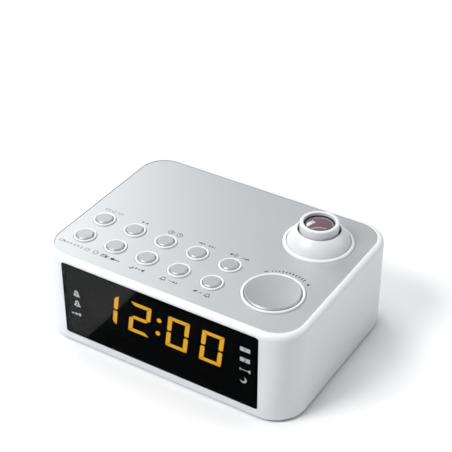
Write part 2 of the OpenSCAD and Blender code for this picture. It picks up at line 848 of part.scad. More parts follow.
// Segments whose state is wanted, as flat outlines that lean to the right
module digit_outlines(state) {
    multmatrix([[1, lean, 0, 0], [0, 1, 0, 0], [0, 0, 1, 0], [0, 0, 0, 1]])
        for (d = [0 : 3]) translate([digit_x[d], 0])
            for (n = [0 : 6]) if (state < 0 || SHOWN[d][n] == state) segment_place(n);
}

module colon_outlines() {
    for (s = [-1, 1]) translate([s * lean * colon_spread / 2, s * colon_spread / 2])
        circle(d = colon_d + 2 * $grow);
}

// Stands a flat outline in the plane of the display's face, reaching back from it
module on_display(front, back) {
    translate([-digit_aside, led_y + back, led_z]) rotate([90, 0, 0]) linear_extrude(back - front)
        children();
}

module led_housing() {
    color([0.12, 0.12, 0.13]) difference() {
        translate([-digit_aside - led_w / 2, led_y, led_z - led_h / 2])
            cube([led_w, led_depth, led_h]);
        on_display(-lap, pocket_depth) digit_outlines(-1, $grow = segment_play);
        on_display(-lap, pocket_depth) colon_outlines($grow = segment_play);
        // Hollow for the lamps on the back
        translate([-digit_aside - led_w / 2 + led_hollow, led_y + led_depth - led_hollow,
                led_z - led_h / 2 + led_hollow])
            cube([led_w - 2 * led_hollow, led_hollow + lap, led_h - 2 * led_hollow]);
    }
}

module lit_segments() {
    color("orange") {
        on_display(-segment_proud, pocket_depth) digit_outlines(1, $grow = 0);
        on_display(-segment_proud, pocket_depth) colon_outlines($grow = 0);
    }
}

module dark_segments() {
    color([0.2, 0.18, 0.16])
        on_display(-segment_proud, pocket_depth) digit_outlines(0, $grow = 0);
}

module display_board() {
    color("darkgreen") difference() {
        translate([-display_board_x, display_board_y, display_board_z0])
            cube([2 * display_board_x, board_t, display_board_z1 - display_board_z0]);
        for (p = DISPLAY_BOARD_SCREWS) translate([p[0], display_board_y + board_t + lap, p[1]])
            rotate([90, 0, 0])
                cylinder(h = board_t + 2 * lap, r = board_screw_r + fit_gap);
    }
}

// One lamp behind each segment and each colon dot
module segment_lamps() {
    color("ivory") translate([-digit_aside, display_board_y - lamp_chip[2] / 2, led_z]) {
        for (x = digit_x, s = segment_spots) translate([x + s[1] * lean + s[0], 0, s[1]])
            rotate([90, s[2], 0]) cube(lamp_chip, center = true);
        for (s = [-1, 1]) translate([s * lean * colon_spread / 2, 0, s * colon_spread / 2])
            rotate([90, 0, 0]) cube(lamp_chip, center = true);
    }
}

// ---- keys ----

module key_board() {
    color("darkgreen") difference() {
        translate([-key_board_x, key_board_y0, key_board_top - board_t])
            cube([2 * key_board_x, key_board_y1 - key_board_y0, board_t]);
        at(KEY_BOARD_SCREWS) translate([0, 0, key_board_top - board_t - lap])
            cylinder(h = board_t + 2 * lap, r = board_screw_r + fit_gap);
    }
}

module tact_switch() {
    difference() {
        translate([-switch_w / 2, -switch_w / 2, key_board_top])
            cube([switch_w, switch_w, switch_h]);
        translate([0, 0, switch_top - switch_bore_d])
            cylinder(h = switch_bore_d + lap, r = stem_r + run_gap);
    }
}

module tact_switches() {
    color([0.15, 0.15, 0.16]) {
        at_keys() tact_switch();
        translate([snooze_x, snooze_y, 0]) tact_switch();
    }
}

// A round cap with a bevelled top, a flange that holds it under the deck, and a stem that
// works its switch
module key(k) {
    color([0.78, 0.79, 0.8])
        translate([key_x0 + k[1] * key_pitch_x, key_y0 + k[2] * key_pitch_y, 0])
            rotate_extrude() polygon([
                [0, stem_z], [stem_r, stem_z], [stem_r, deck_under - flange_t],
                [key_hole_r + flange_lip, deck_under - flange_t],
                [key_hole_r + flange_lip, deck_under], [key_r, deck_under],
                [key_r, plate_top + key_rise - key_bevel],
                [key_r - key_bevel, plate_top + key_rise], [0, plate_top + key_rise],
            ]);
}

module snooze_key() {
    crown = plate_top + snooze_rise;
    dish_r = ((snooze_r - snooze_bevel) ^ 2 + snooze_dish ^ 2) / (2 * snooze_dish);
    color([0.78, 0.79, 0.8]) translate([snooze_x, snooze_y, 0]) difference() {
        rotate_extrude() polygon([
            [0, stem_z], [stem_r, stem_z], [stem_r, deck_under - flange_t],
            [stem_r + 1, deck_under - flange_t],
            [stem_r + 1, plate_top - snooze_dish], [snooze_r - 1.6, plate_top - snooze_dish],
            [snooze_r - 1.6, deck_under - flange_t],
            [snooze_hole_r + flange_lip, deck_under - flange_t],
            [snooze_hole_r + flange_lip, deck_under], [snooze_r, deck_under],
            [snooze_r, crown - snooze_bevel], [snooze_r - snooze_bevel, crown], [0, crown],
        ]);
        translate([0, 0, crown - snooze_dish + dish_r]) sphere(dish_r, $fn = 400);
    }
}

// ---- base ----

module base_cover() {
    color("white") difference() {
        union() {
            translate([0, 0, cover_z])
                rounded_prism(in_w - 2 * base_gap, in_d - 2 * base_gap, base_t, in_r - base_gap);
            // Cup for the coin cell
            translate([hatch_x, hatch_y, cover_z]) cylinder(h = cup_top - cover_z,
                r = cup_r + cup_wall);
            // Bosses and locating rim for the loudspeaker
            translate([speaker_x, speaker_y, cover_z]) {
                at(SPEAKER_SCREWS) cylinder(h = base_t + speaker_flange, r = boss_r);
                difference() {
                    cylinder(h = base_t + 2 * speaker_flange,
                        r = speaker_r + seat_gap + speaker_rim_w);
                    translate([0, 0, base_t])
                        cylinder(h = 3 * speaker_flange, r = speaker_r + seat_gap);
                    at(SPEAKER_SCREWS) translate([0, 0, base_t + speaker_flange])
                        cylinder(h = 2 * speaker_flange, r = boss_r + 2 * seat_gap);
                }
            }
            // Bosses for the main board
            at(MAIN_SCREWS) translate([0, 0, cover_z]) cylinder(h = main_z - cover_z, r = boss_r);
            base_rim();
        }
        base_holes();
    }
}

// Low lip that locates the cover inside the cabinet's walls
module base_rim() {
    inner = base_rim_gap + base_rim_w;
    difference() {
        translate([0, 0, cover_top - lap]) rounded_prism(in_w - 2 * base_rim_gap,
            in_d - 2 * base_rim_gap, base_rim_h + lap, in_r - base_rim_gap);
        translate([0, 0, cover_top - 2 * lap]) rounded_prism(in_w - 2 * inner,
            in_d - 2 * inner, base_rim_h + 3 * lap, in_r - inner);
        at(POSTS) translate([0, 0, cover_top])
            cylinder(h = base_rim_h + lap, r = post_r + run_gap);
    }
}

module base_holes() {
    at(POSTS) {
        translate([0, 0, cover_z - lap]) cylinder(h = head_seat + lap, r = case_head_r + run_gap);
        translate([0, 0, cover_z]) cylinder(h = base_t + lap, r = case_screw_r + fit_gap);
    }
    at(FEET) translate([0, 0, cover_z - lap]) cylinder(h = foot_seat + lap, r = foot_r + plate_gap);
    // Battery mouth, its bayonet notches and the seat of the hatch
    translate([hatch_x, hatch_y, 0]) {
        translate([0, 0, cover_z - lap]) cylinder(h = hatch_t + lap, r = hatch_r + run_gap);
        translate([0, 0, cover_z]) cylinder(h = base_t + lap, r = mouth_r);
        translate([0, 0, lip_top]) cylinder(h = cell_z0 - lip_top, r = cup_r);
        translate([0, 0, cell_z0 - lap]) cylinder(h = cup_top - cell_z0 + 2 * lap, r = mouth_r);
        rotate([0, 0, hatch_turn]) translate([-tab_r - run_gap, -tab_w / 2 - run_gap, cover_z])
            cube([2 * tab_r + 2 * run_gap, tab_w + 2 * run_gap, base_t + lap]);
    }
    // Grille, pilot holes for the loudspeaker
    translate([speaker_x, speaker_y, cover_z - lap]) {
        for (i = [-floor(grille_r / slot_pitch) : floor(grille_r / slot_pitch)]) {
            half = sqrt(grille_r ^ 2 - (i * slot_pitch) ^ 2) - slot_w / 2;
            if (half > slot_w) translate([0, i * slot_pitch, 0]) {
                translate([-half, -slot_w / 2, 0]) cube([2 * half, slot_w, base_t + 2 * lap]);
                for (s = [-1, 1]) translate([s * half, 0, 0])
                    cylinder(h = base_t + 2 * lap, r = slot_w / 2);
            }
        }
        at(SPEAKER_SCREWS) translate([0, 0, base_t + lap - 1])
            cylinder(h = 1 + speaker_flange + lap, r = board_screw_r + fit_gap);
    }
    at(MAIN_SCREWS) translate([0, 0, cover_z + 1])
        cylinder(h = main_z - cover_z, r = board_screw_r + fit_gap);
}

module rubber_feet() {
    color([0.15, 0.15, 0.15]) at(FEET) rotate_extrude() polygon([
        [0, 0], [foot_r - foot_bevel, 0], [foot_r, foot_bevel], [foot_r, cover_z + foot_seat],
        [0, cover_z + foot_seat],
    ]);
}

module case_screws() {
    color("gray") at(POSTS) translate([0, 0, cover_z + head_seat])
        screw(case_screw_r, case_head_r, case_head_t, case_screw_l);
}

// Screws of the key board, the display board and the main board
module board_screws() {
    color("gray") {
        at(KEY_BOARD_SCREWS) translate([0, 0, key_board_top - board_t])
            screw(board_screw_r, board_head_r, board_head_t, board_screw_l - lap);
        for (p = DISPLAY_BOARD_SCREWS) translate([p[0], display_board_y + board_t, p[1]])
            rotate([90, 0, 0])
                screw(board_screw_r, board_head_r, board_head_t, board_screw_l - lap);
        at(MAIN_SCREWS) translate([0, 0, main_top]) mirror([0, 0, 1])
            screw(board_screw_r, board_head_r, board_head_t, board_screw_l);
    }
}

module battery_hatch() {
    color("white") translate([hatch_x, hatch_y, 0]) difference() {
        union() {
            translate([0, 0, cover_z]) cylinder(h = hatch_t, r = hatch_r);
            translate([0, 0, cover_z + hatch_t - lap])
                cylinder(h = plug_top - cover_z - hatch_t + lap, r = plug_r);
            translate([0, 0, tab_z]) intersection() {
                cylinder(h = tab_t, r = tab_r);
                translate([-tab_r, -tab_w / 2, 0]) cube([2 * tab_r, tab_w, tab_t]);
            }
        }
        // Coin slot
        translate([-hatch_r * 0.6, -coin_slot_w / 2, cover_z - lap])
            cube([hatch_r * 1.2, coin_slot_w, coin_slot_d + lap]);
    }
}

module coin_cell() {
    color("silver") translate([hatch_x, hatch_y, cell_z0]) rotate_extrude() polygon([
        [0, 0], [cell_r - cell_step, 0], [cell_r - cell_step, cell_round],
        [cell_r - cell_round, cell_round], [cell_r, 2 * cell_round], [cell_r, cell_t],
        [0, cell_t],
    ]);
}

// A bridge over the cup, with a pad that presses on the cell
module battery_contacts() {
    color("gold") translate([hatch_x, hatch_y, 0]) {
        translate([-cup_r - cup_wall, -contact_w / 2, cup_top])
            cube([2 * (cup_r + cup_wall), contact_w, contact_t]);
        translate([-contact_pad / 2, -contact_pad / 2, cell_z0 + cell_t])
            cube([contact_pad, contact_pad, contact_rise + contact_t]);
    }
}

// ---- loudspeaker ----

module speaker_frame() {
    rim = speaker_r - basket_rim;
    floor_z = speaker_neck - basket_t;
    color([0.55, 0.56, 0.58]) translate([speaker_x, speaker_y, speaker_z])
        difference() {
            rotate_extrude() polygon([
                [rim, 0], [speaker_r, 0], [speaker_r, speaker_flange],
                [rim + basket_t, speaker_flange], [magnet_r + basket_t, speaker_neck],
                [coil_r + 0.5, speaker_neck], [coil_r + 0.5, floor_z],
                [magnet_r + 0.4, floor_z], [rim, speaker_flange],
            ]);
            // Windows in the basket
            for (i = [1 : basket_ribs]) rotate([0, 0, i * 360 / basket_ribs])
                translate([magnet_r + 2 * basket_t, -basket_window / 2,
                        speaker_flange + 1.5 * basket_t])
                    cube([speaker_r, basket_window, floor_z - speaker_flange - 3 * basket_t]);
        }
}

module speaker_magnet() {
    color([0.25, 0.25, 0.27]) translate([speaker_x, speaker_y, speaker_z + speaker_neck]) {
        cylinder(h = magnet_t - magnet_plate_t, r = magnet_r);
        translate([0, 0, magnet_t - magnet_plate_t])
            cylinder(h = magnet_plate_t, r = magnet_r - magnet_plate_in);
    }
}

// Paper cone, dust cap and voice coil, opening downwards
module speaker_cone() {
    edge = speaker_r - basket_rim - cone_gap;
    hinge = edge - basket_rim;
    deep = speaker_neck - basket_t - 2;
    color([0.2, 0.2, 0.2]) translate([speaker_x, speaker_y, speaker_z]) rotate_extrude()
        polygon([
            [0, deep - dust_cap], [coil_r * 0.7, deep - dust_cap * 0.75], [coil_r, deep - cone_t],
            [hinge, cone_t], [edge, 0], [edge, cone_t], [hinge + cone_gap, 2 * cone_t],
            [coil_r, deep + cone_t], [coil_r, deep + coil_h], [coil_r - cone_t, deep + coil_h],
            [coil_r - cone_t, deep], [0, deep - dust_cap + cone_t],
        ]);
}

module speaker_screws() {
    color("gray") translate([speaker_x, speaker_y, speaker_z + speaker_flange])
        at(SPEAKER_SCREWS) mirror([0, 0, 1])
            screw(board_screw_r, boss_r + seat_gap, board_head_t, speaker_flange);
}

// ---- main board and rear sockets ----

module main_board() {
    color("darkgreen") difference() {
        translate([main_x0, main_y0, main_z]) cube([main_w, main_d, board_t]);
        at(MAIN_SCREWS) translate([0, 0, main_z - lap])
            cylinder(h = board_t + 2 * lap, r = board_screw_r + fit_gap);
    }
}

module radio_chip() {
    color([0.1, 0.1, 0.1])
        translate([chip_x, main_y0 + main_d / 2, main_top]) {
            translate([-chip_size[0] / 2, -chip_size[1] / 2, 0]) cube(chip_size);
            for (i = [0 : chip_legs - 1], s = [-1, 1])
                translate([(i - (chip_legs - 1) / 2) * leg_pitch - leg_size[0] / 2,
                        s * leg_out - leg_size[1] / 2, 0])
                    cube(leg_size);
        }
}

module tuner_can() {
    color("silver") translate([main_x0 + tuner_place[0], main_y0 + tuner_place[1], main_top])
        difference() {
            cube(tuner_size);
            translate([tuner_size[0] / 2, tuner_size[1] / 2, tuner_size[2] - tuner_hole_d])
                cylinder(h = 2 * tuner_hole_d, r = tuner_hole_r);
        }
}

module capacitors() {
    color([0.15, 0.2, 0.35]) for (c = CAPACITORS)
        translate([main_x0 + main_w - c[0], main_y0 + c[1], main_top]) {
            cylinder(h = capacitor_h, r = c[2]);
            cylinder(h = capacitor_h + capacitor_vent[1], r = c[2] - capacitor_vent[0]);
        }
}

// Body of a socket on the main board, with its nose in the rear wall
module socket_body(size, nose_r) {
    translate([-size[0] / 2, socket_front - socket_depth, main_top])
        cube([size[0], socket_depth, socket_z - main_top + size[1] / 2]);
    translate([0, socket_y1, socket_z]) rotate([90, 0, 0])
        cylinder(h = socket_y1 - socket_front + lap, r = nose_r);
}

module power_socket() {
    color([0.1, 0.1, 0.1]) translate([power_x, 0, 0]) difference() {
        socket_body(power_size, power_nose_r);
        translate([0, back_y, socket_z]) rotate([90, 0, 0])
            cylinder(h = power_depth, r = power_bore_r);
    }
}

module power_socket_pin() {
    color("silver") translate([power_x, back_y - power_pin_in, socket_z]) rotate([90, 0, 0])
        cylinder(h = power_depth - power_pin_in, r = power_pin_r);
}

module audio_socket() {
    color([0.1, 0.1, 0.1]) translate([aux_x, 0, 0]) difference() {
        socket_body(aux_size, aux_nose_r);
        translate([0, socket_y1 + lap, socket_z]) rotate([90, 0, 0])
            cylinder(h = aux_depth + lap, r = aux_bore_r);
    }
}

// Rubber grommet for the aerial wire
module aerial_gland() {
    color([0.12, 0.12, 0.12]) translate([aerial_x, back_y, socket_z]) rotate([90, 0, 0])
        rotate_extrude() polygon([
            [aerial_r, socket_inset], [gland_r, socket_inset], [gland_r, wall],
            [gland_r + gland_lip, wall], [gland_r + gland_lip, wall + gland_lip_t],
            [aerial_r, wall + gland_lip_t],
        ]);
}

// ---- projector ----

module projector_cradle() {
    color([0.3, 0.3, 0.32]) translate([ball_x, ball_y, 0]) difference() {
        translate([0, 0, cradle_z])
            tube(cradle_out, cradle_in, deck_under - slide_gap - cradle_z);
        translate([-cradle_out - lap, 0, ball_z]) rotate([0, 90, 0])
            cylinder(h = 2 * cradle_out + 2 * lap, r = trunnion_r + fit_gap);
    }
}

module projector_retainer() {
    color([0.3, 0.3, 0.32]) translate([ball_x, ball_y, retainer_z]) difference() {
        union() {
            cylinder(h = retainer_t, r = skirt_out);
            for (a = EARS) rotate([0, 0, a]) {
                translate([ear_out, 0, 0]) cylinder(h = retainer_t, r = ear_r);
                translate([ear_out - 2 * ear_r, -ear_r, 0]) cube([2 * ear_r, 2 * ear_r, retainer_t]);
            }
        }
        translate([0, 0, -lap]) cylinder(h = retainer_t + 2 * lap, r = retainer_in);
        for (a = EARS) rotate([0, 0, a]) translate([ear_out, 0, -lap])
            cylinder(h = retainer_t + 2 * lap, r = board_screw_r + fit_gap);
    }
}

module retainer_screws() {
    color("gray") translate([ball_x, ball_y, retainer_z]) for (a = EARS) rotate([0, 0, a])
        translate([ear_out, 0, 0]) screw(board_screw_r, board_head_r, board_head_t, board_screw_l);
}

module projector_ball() {
    color("white") translate([ball_x, ball_y, ball_z]) difference() {
        union() {
            difference() {
                sphere(ball_r);
                sphere(ball_in);
                cylinder(h = 2 * ball_r, r = ball_mouth_r);
                translate([-2 * ball_r, -2 * ball_r, -ball_cut - 2 * ball_r])
                    cube([4 * ball_r, 4 * ball_r, 2 * ball_r]);
            }
            // Web that carries the lens tube and the light tunnel
            intersection() {
                sphere(ball_r - ball_wall / 2);
                translate([0, 0, web_z - web_t]) cylinder(h = web_t, r = ball_r);
            }
            translate([0, 0, web_z - lap]) cylinder(h = guide_top - web_z + lap, r = guide_out);
            translate([0, 0, tunnel_z])
                cylinder(h = web_z - tunnel_z, r = focus_bore_r + tunnel_wall);
            for (s = [-1, 1]) translate([s * lamp_x, 0, tunnel_z])
                cylinder(h = lamp_ear_h, r = lamp_ear_r);
            // Trunnions
            for (s = [-1, 1]) rotate([0, s * 90, 0])
                translate([0, 0, ball_r - ball_wall / 2])
                    cylinder(h = trunnion_end - ball_r + ball_wall / 2, r = trunnion_r);
        }
        // Light path, with a ledge for the display slide
        translate([0, 0, lcd_ledge_z + lcd_ledge_t])
            cylinder(h = 2 * ball_r, r = focus_bore_r);
        translate([0, 0, tunnel_z - lap])
            cylinder(h = lcd_ledge_z - tunnel_z + lap, r = focus_bore_r);
        translate([0, 0, lcd_ledge_z - lap]) cylinder(h = 2 * lcd_ledge_t, r = lcd_w * 0.42);
        // Slots that keep the lens cell from turning
        translate([-guide_out - lap, -lug_w / 2 - slide_gap, web_z + lug_up])
            cube([2 * guide_out + 2 * lap, lug_w + 2 * slide_gap, guide_top]);
        for (s = [-1, 1]) translate([s * lamp_x, 0, tunnel_z - lap])
            cylinder(h = lamp_pilot, r = lamp_screw_r + fit_gap);
    }
}

module focus_ring() {
    lip = focus_round;
    color("white") translate([ball_x, ball_y, ball_z]) rotate_extrude() difference() {
        union() {
            translate([0, focus_z]) square([focus_r, focus_top - lip - focus_z]);
            square_top = focus_top - lip;
            translate([0, square_top - lap]) square([focus_r - lip, lip + lap]);
            translate([focus_r - lip, square_top]) circle(lip);
        }
        translate([-lap, focus_z - lap]) square([focus_bore_r + lap, 2 * focus_top]);
        translate([-lap, focus_z - lap])
            square([guide_out + run_gap + lap, guide_top + run_gap - focus_z + lap]);
    }
}

module lens_cell() {
    color([0.1, 0.1, 0.1]) translate([ball_x, ball_y, ball_z]) difference() {
        union() {
            translate([0, 0, cell_z]) cylinder(h = cell_top - cell_z, r = cell_out);
            intersection() {
                translate([-guide_out, -lug_w / 2, cell_z]) cube([2 * guide_out, lug_w, lug_h]);
                translate([0, 0, cell_z]) cylinder(h = lug_h, r = guide_out - lug_play);
            }
        }
        translate([0, 0, lens_seat]) cylinder(h = 2 * lens_t, r = lens_r + fit_gap);
        translate([0, 0, cell_z - lap]) cylinder(h = 2 * lens_t + cell_top, r = lens_r - lens_ledge);
    }
}

// Lens with a flat back and a domed front, standing on z = 0
module domed_lens(r, t, edge) {
    rise = t - edge;
    dome_r = (r ^ 2 + rise ^ 2) / (2 * rise);
    intersection() {
        cylinder(h = t, r = r);
        translate([0, 0, t - dome_r]) sphere(dome_r);
    }
}

module projection_lens() {
    color([0.7, 0.6, 0.7, 0.6]) translate([ball_x, ball_y, ball_z + lens_seat])
        domed_lens(lens_r, lens_t, lens_edge);
}

module projection_lcd() {
    color([0.4, 0.42, 0.45]) translate([ball_x, ball_y, ball_z + lcd_ledge_z + lcd_ledge_t])
        translate([-lcd_w / 2, -lcd_w / 2, 0]) cube([lcd_w, lcd_w, lcd_t]);
}

module condenser_lens() {
    color([0.8, 0.8, 0.85, 0.6]) translate([ball_x, ball_y, ball_z + lcd_ledge_z])
        mirror([0, 0, 1]) domed_lens(focus_bore_r - fit_gap, condenser_t, condenser_edge);
}

module lamp_board() {
    color("darkgreen") translate([ball_x, ball_y, ball_z + tunnel_z - board_t]) difference() {
        cylinder(h = board_t, r = lamp_x + lamp_ear_r);
        for (s = [-1, 1]) translate([s * lamp_x, 0, -lap])
            cylinder(h = board_t + 2 * lap, r = lamp_screw_r + fit_gap);
    }
}

module projector_lamp() {
    color("red") translate([ball_x, ball_y, ball_z + tunnel_z]) {
        cylinder(h = lamp_collar[1], r = lamp_r + lamp_collar[0]);
        cylinder(h = lamp_h - lamp_r, r = lamp_r);
        translate([0, 0, lamp_h - lamp_r]) sphere(lamp_r);
    }
}

module lamp_screws() {
    color("gray") translate([ball_x, ball_y, ball_z + tunnel_z - board_t])
        for (s = [-1, 1]) translate([s * lamp_x, 0, 0])
            screw(lamp_screw_r, lamp_head_r, lamp_head_t, lamp_screw_l);
}

// ---- the parts ----

cabinet();
top_plate();
front_window();
display_mask();
led_housing();
lit_segments();
dark_segments();
display_board();
segment_lamps();
key_board();
tact_switches();
for (k = KEYS) key(k);
snooze_key();
base_cover();
rubber_feet();
case_screws();
board_screws();
battery_hatch();
coin_cell();
battery_contacts();
speaker_frame();
speaker_magnet();
speaker_cone();
speaker_screws();
main_board();
radio_chip();
tuner_can();
capacitors();
power_socket();
power_socket_pin();
audio_socket();
aerial_gland();
projector_cradle();
projector_retainer();
retainer_screws();
projector_ball();
focus_ring();
lens_cell();
projection_lens();
projection_lcd();
condenser_lens();
lamp_board();
projector_lamp();
lamp_screws();
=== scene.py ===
"""Surfaces, printed signs and finishes of the projection alarm clock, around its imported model.

The model's frame is kept: X to the right of the display, Y to the back, Z up from the table.
Shapes are drawn in millimetres and brought to metres when a piece is finished."""
import json
import math

import bmesh
import bpy
from mathutils import Euler, Matrix, Vector


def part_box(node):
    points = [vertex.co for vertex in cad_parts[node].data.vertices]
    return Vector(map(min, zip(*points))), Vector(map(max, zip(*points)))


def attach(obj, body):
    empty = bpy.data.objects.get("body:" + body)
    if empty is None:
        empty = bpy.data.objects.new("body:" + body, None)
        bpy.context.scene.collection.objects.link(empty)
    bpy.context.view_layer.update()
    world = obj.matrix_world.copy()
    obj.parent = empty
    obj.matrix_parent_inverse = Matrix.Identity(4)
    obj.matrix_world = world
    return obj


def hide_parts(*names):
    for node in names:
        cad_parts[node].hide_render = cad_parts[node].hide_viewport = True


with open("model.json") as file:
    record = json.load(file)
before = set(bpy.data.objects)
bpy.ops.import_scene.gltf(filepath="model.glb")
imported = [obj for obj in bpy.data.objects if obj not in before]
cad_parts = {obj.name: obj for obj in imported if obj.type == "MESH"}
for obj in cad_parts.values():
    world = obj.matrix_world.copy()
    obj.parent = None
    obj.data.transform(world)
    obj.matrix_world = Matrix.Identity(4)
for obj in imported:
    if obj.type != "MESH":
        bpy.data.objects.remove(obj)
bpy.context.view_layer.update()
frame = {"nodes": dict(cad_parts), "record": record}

MM = 0.001
ROUND_STEPS = 96
KEY_STEPS = 72
SOCKET_STEPS = 48
CORNER_STEPS = 20


def box_mm(node):
    """Lowest and highest corner of a node of the model, in millimetres."""
    low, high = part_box(node)
    return low / MM, high / MM


def centre_mm(node):
    """Middle of a node's box, in millimetres."""
    low, high = box_mm(node)
    return (low + high) / 2


# ---- sizes, in millimetres ----

# Cabinet and top plate. Heights and outlines come from the model, walls and rounds repeat its own.
cabinet_low, cabinet_high = box_mm("cabinet")
plate_low, plate_high = box_mm("top_plate")
PLATE_TOP = plate_high.z
DECK_TOP = plate_low.z
BOTTOM = cabinet_low.z
WIDTH = 2 * cabinet_high.x
DEPTH = 2 * cabinet_high.y
CORNER_R = 20
WALL = 2.6
TOP_ROUND = 3.1
BOTTOM_ROUND = 1
RIM_WIDTH = 4.1
RIM_RISE = 0.3
RIM_TOP = PLATE_TOP + RIM_RISE
DECK_T = 2.2
DECK_UNDER = DECK_TOP - DECK_T
# Play of the plate and of the window's pane in their recesses
PLAY = (WIDTH - 2 * RIM_WIDTH - (plate_high.x - plate_low.x)) / 2
PLATE_EDGE = 0.12
SOFT_EDGE = 0.15
# Grey strip in the seam round the plate, which is painted shade: how deep it is sunk, how far it
# rises, and its lip up the rim
SHADE_STRIP_SUNK = 0.04
SHADE_STRIP_RISE = 0.06
SHADE_STRIP_LIP_T = 0.05
SHADE_STRIP_LIP_RISE = 0.2

# Window, and what is printed or packed behind it
pane_low, pane_high = box_mm("front_window")
PANE_MIDDLE = (pane_low.z + pane_high.z) / 2
PANE_R = 3
PANE_LEAST_R = 0.6
PANE_DEPTH = pane_high.y - cabinet_low.y
LEDGE = 2
BORDER_OVER_LEDGE = 0.6
BORDER_FROM_FRONT = 0.3
GASKET_WIDTH = 2.5
GASKET_LAP = 1
GASKET_R = 1

# Thickness of printed ink, how far it is let into its surface, and the gap or lap at a hidden seam
INK = 0.03
INK_SUNK = 0.01
CLEAR = 0.02

# Small keys, with the flange that holds each under the deck
KEYS = [
    "projection_key", "source_key", "sleep_key", "alarm_1_key", "alarm_2_key",
    "rotate_key", "band_key", "clock_key", "tuning_key", "volume_key",
]
KEY_R = 5.2
KEY_HOLE_R = 5.4
KEY_BEVEL = 0.7
KEY_ROUND = 0.3
KEY_RING_W = 1.5
KEY_RING_RISE = 0.9
FLANGE_R = 6.5
FLANGE_T = 1
STEM_R = 1.5

# Snooze key: a dished cap on a skirt, a boss and a stem
SNOOZE_R = 16.05
SNOOZE_HOLE_R = 16.35
SNOOZE_RING_W = 1.9
SNOOZE_RING_RISE = 1.05
SNOOZE_FLANGE_R = 17.45
SNOOZE_BEVEL = 0.7
SNOOZE_ROUND = 0.15
SNOOZE_DISH = 1.3
SNOOZE_SKIRT = 1.6
SNOOZE_BOSS = 1

# Projector: ball, mouth, guide tube, focus ring with its liner, and front lens
ball_middle = centre_mm("projector_ball")
BALL_DROP = 6
BALL_Z = PLATE_TOP - BALL_DROP
BALL_R = 20.1
BALL_IN_R = 18.1
SEAT_R = 20.4
BALL_RING_R = 21.4
BALL_RING_W = 3
BALL_RING_RISE = 1.1
MOUTH_R = 12.85
TRUNNION_R = 1.6
TRUNNION_LAP = 1
FOCUS_R = 11.6
FOCUS_BORE_R = 9.3
FOCUS_PLAY = 0.3
FOCUS_ROUND = 0.9
FOCUS_BORE_ROUND = 0.65
GUIDE_R = 10.4
GUIDE_TOP = 14.2
# Black liner round the lens, which also paints the shade at the lens's edge
LINER_DEPTH = 1.5
LINER_RISE = 0.35
LINER_T = 0.12
LENS_FLANGE_R = 8.4
LENS_FLANGE_T = 0.1
LENS_RISE = 2.2

# Radius of each socket's hole in the rear wall, and the height of the sockets' axes, which is that
# of the round gland's middle
REAR_HOLES = {"power_socket": 4.25, "audio_socket": 3.05, "aerial_gland": 3.05}
SOCKET_Z = centre_mm("aerial_gland").z


# ---- shaping ----

def rounded(corners, steps=8):
    """Path through corners (a, b) or (a, b, radius), with an arc of some steps at each radius."""
    path = []
    for i, (a, b, *radius) in enumerate(corners):
        here = Vector((a, b))
        if not radius:
            path.append(here)
            continue
        back = (Vector(corners[i - 1][:2]) - here).normalized()
        onward = (Vector(corners[i + 1][:2]) - here).normalized()
        half = back.angle(onward) / 2
        centre = here + (back + onward).normalized() * (radius[0] / math.sin(half))
        start = here + back * (radius[0] / math.tan(half)) - centre
        end = here + onward * (radius[0] / math.tan(half)) - centre
        turned = math.atan2(start.x * end.y - start.y * end.x, start.dot(end))
        path += [centre + Matrix.Rotation(turned * k / steps, 2) @ start for k in range(steps + 1)]
    return [p for i, p in enumerate(path) if i == 0 or (p - path[i - 1]).length > 1e-4]


def arc(centre, radius, start, end, steps=12):
    """Points of an arc between two angles in degrees."""
    turns = [math.radians(start + (end - start) * k / steps) for k in range(steps + 1)]
    return [Vector(centre) + radius * Vector((math.cos(a), math.sin(a))) for a in turns]


def level(x, y, z):
    """Place of a flat outline that lies level."""
    return Matrix.Translation((x, y, z))


def upright(x, y, z):
    """Place of a flat outline that stands up and faces along -Y."""
    return Matrix.Translation((x, y, z)) @ Matrix.Rotation(math.pi / 2, 4, "X")


def rounded_loop(bm, width, height, radius, place):
    """Edges of a rectangle with round corners in the XY plane of a place."""
    older = set(bm.edges)
    corners = [
        bm.verts.new(place @ Vector((x * width / 2, y * height / 2, 0)))
        for x, y in ((-1, -1), (1, -1), (1, 1), (-1, 1))
    ]
    bm.faces.new(corners)
    bmesh.ops.bevel(
        bm, geom=corners, offset=radius, offset_type="OFFSET", segments=CORNER_STEPS,
        profile=0.5, affect="VERTICES", material=-1,
    )
    edges = [e for e in bm.edges if e not in older]
    bmesh.ops.delete(bm, geom=list(edges[0].link_faces), context="FACES_ONLY")
    return edges


def round_loop(bm, radius, place, steps=ROUND_STEPS):
    """Edges of a circle in the XY plane of a place."""
    made = bmesh.ops.create_circle(bm, cap_ends=False, radius=radius, segments=steps, matrix=place)
    return list({e for v in made["verts"] for e in v.link_edges})


def skin(bm, loops):
    """Faces from each loop of edges to the next."""
    for one, other in zip(loops, loops[1:]):
        bmesh.ops.bridge_loops(bm, edges=one + other)


def sheet(bm, loops, normal):
    """Flat face inside the first loop, left open inside the others."""
    edges = [e for loop in loops for e in loop]
    bmesh.ops.triangle_fill(bm, use_beauty=True, use_dissolve=False, edges=edges, normal=normal)


def pierce(bm, y, holes):
    """Refills the wide flat wall face at a depth y round the loops of its holes."""
    flat = [f for f in bm.faces if all(abs(v.co.y - y) < 1e-3 for v in f.verts)]
    face = max(flat, key=lambda f: f.calc_area())
    rim = list(face.edges)
    bmesh.ops.delete(bm, geom=[face], context="FACES_ONLY")
    sheet(bm, [rim] + holes, (0, math.copysign(1, y), 0))


def turn(bm, profile, x, y, closed=True, steps=ROUND_STEPS):
    """Turns a profile of (radius, height) points about the upright axis through x, y."""
    verts = [bm.verts.new((x + r, y, z)) for r, z in profile]
    edges = [bm.edges.new(pair) for pair in zip(verts, verts[1:] + verts[:1] * closed)]
    bmesh.ops.spin(
        bm, geom=verts + edges, cent=(x, y, 0), axis=(0, 0, 1), angle=math.tau, steps=steps,
        use_merge=True,
    )


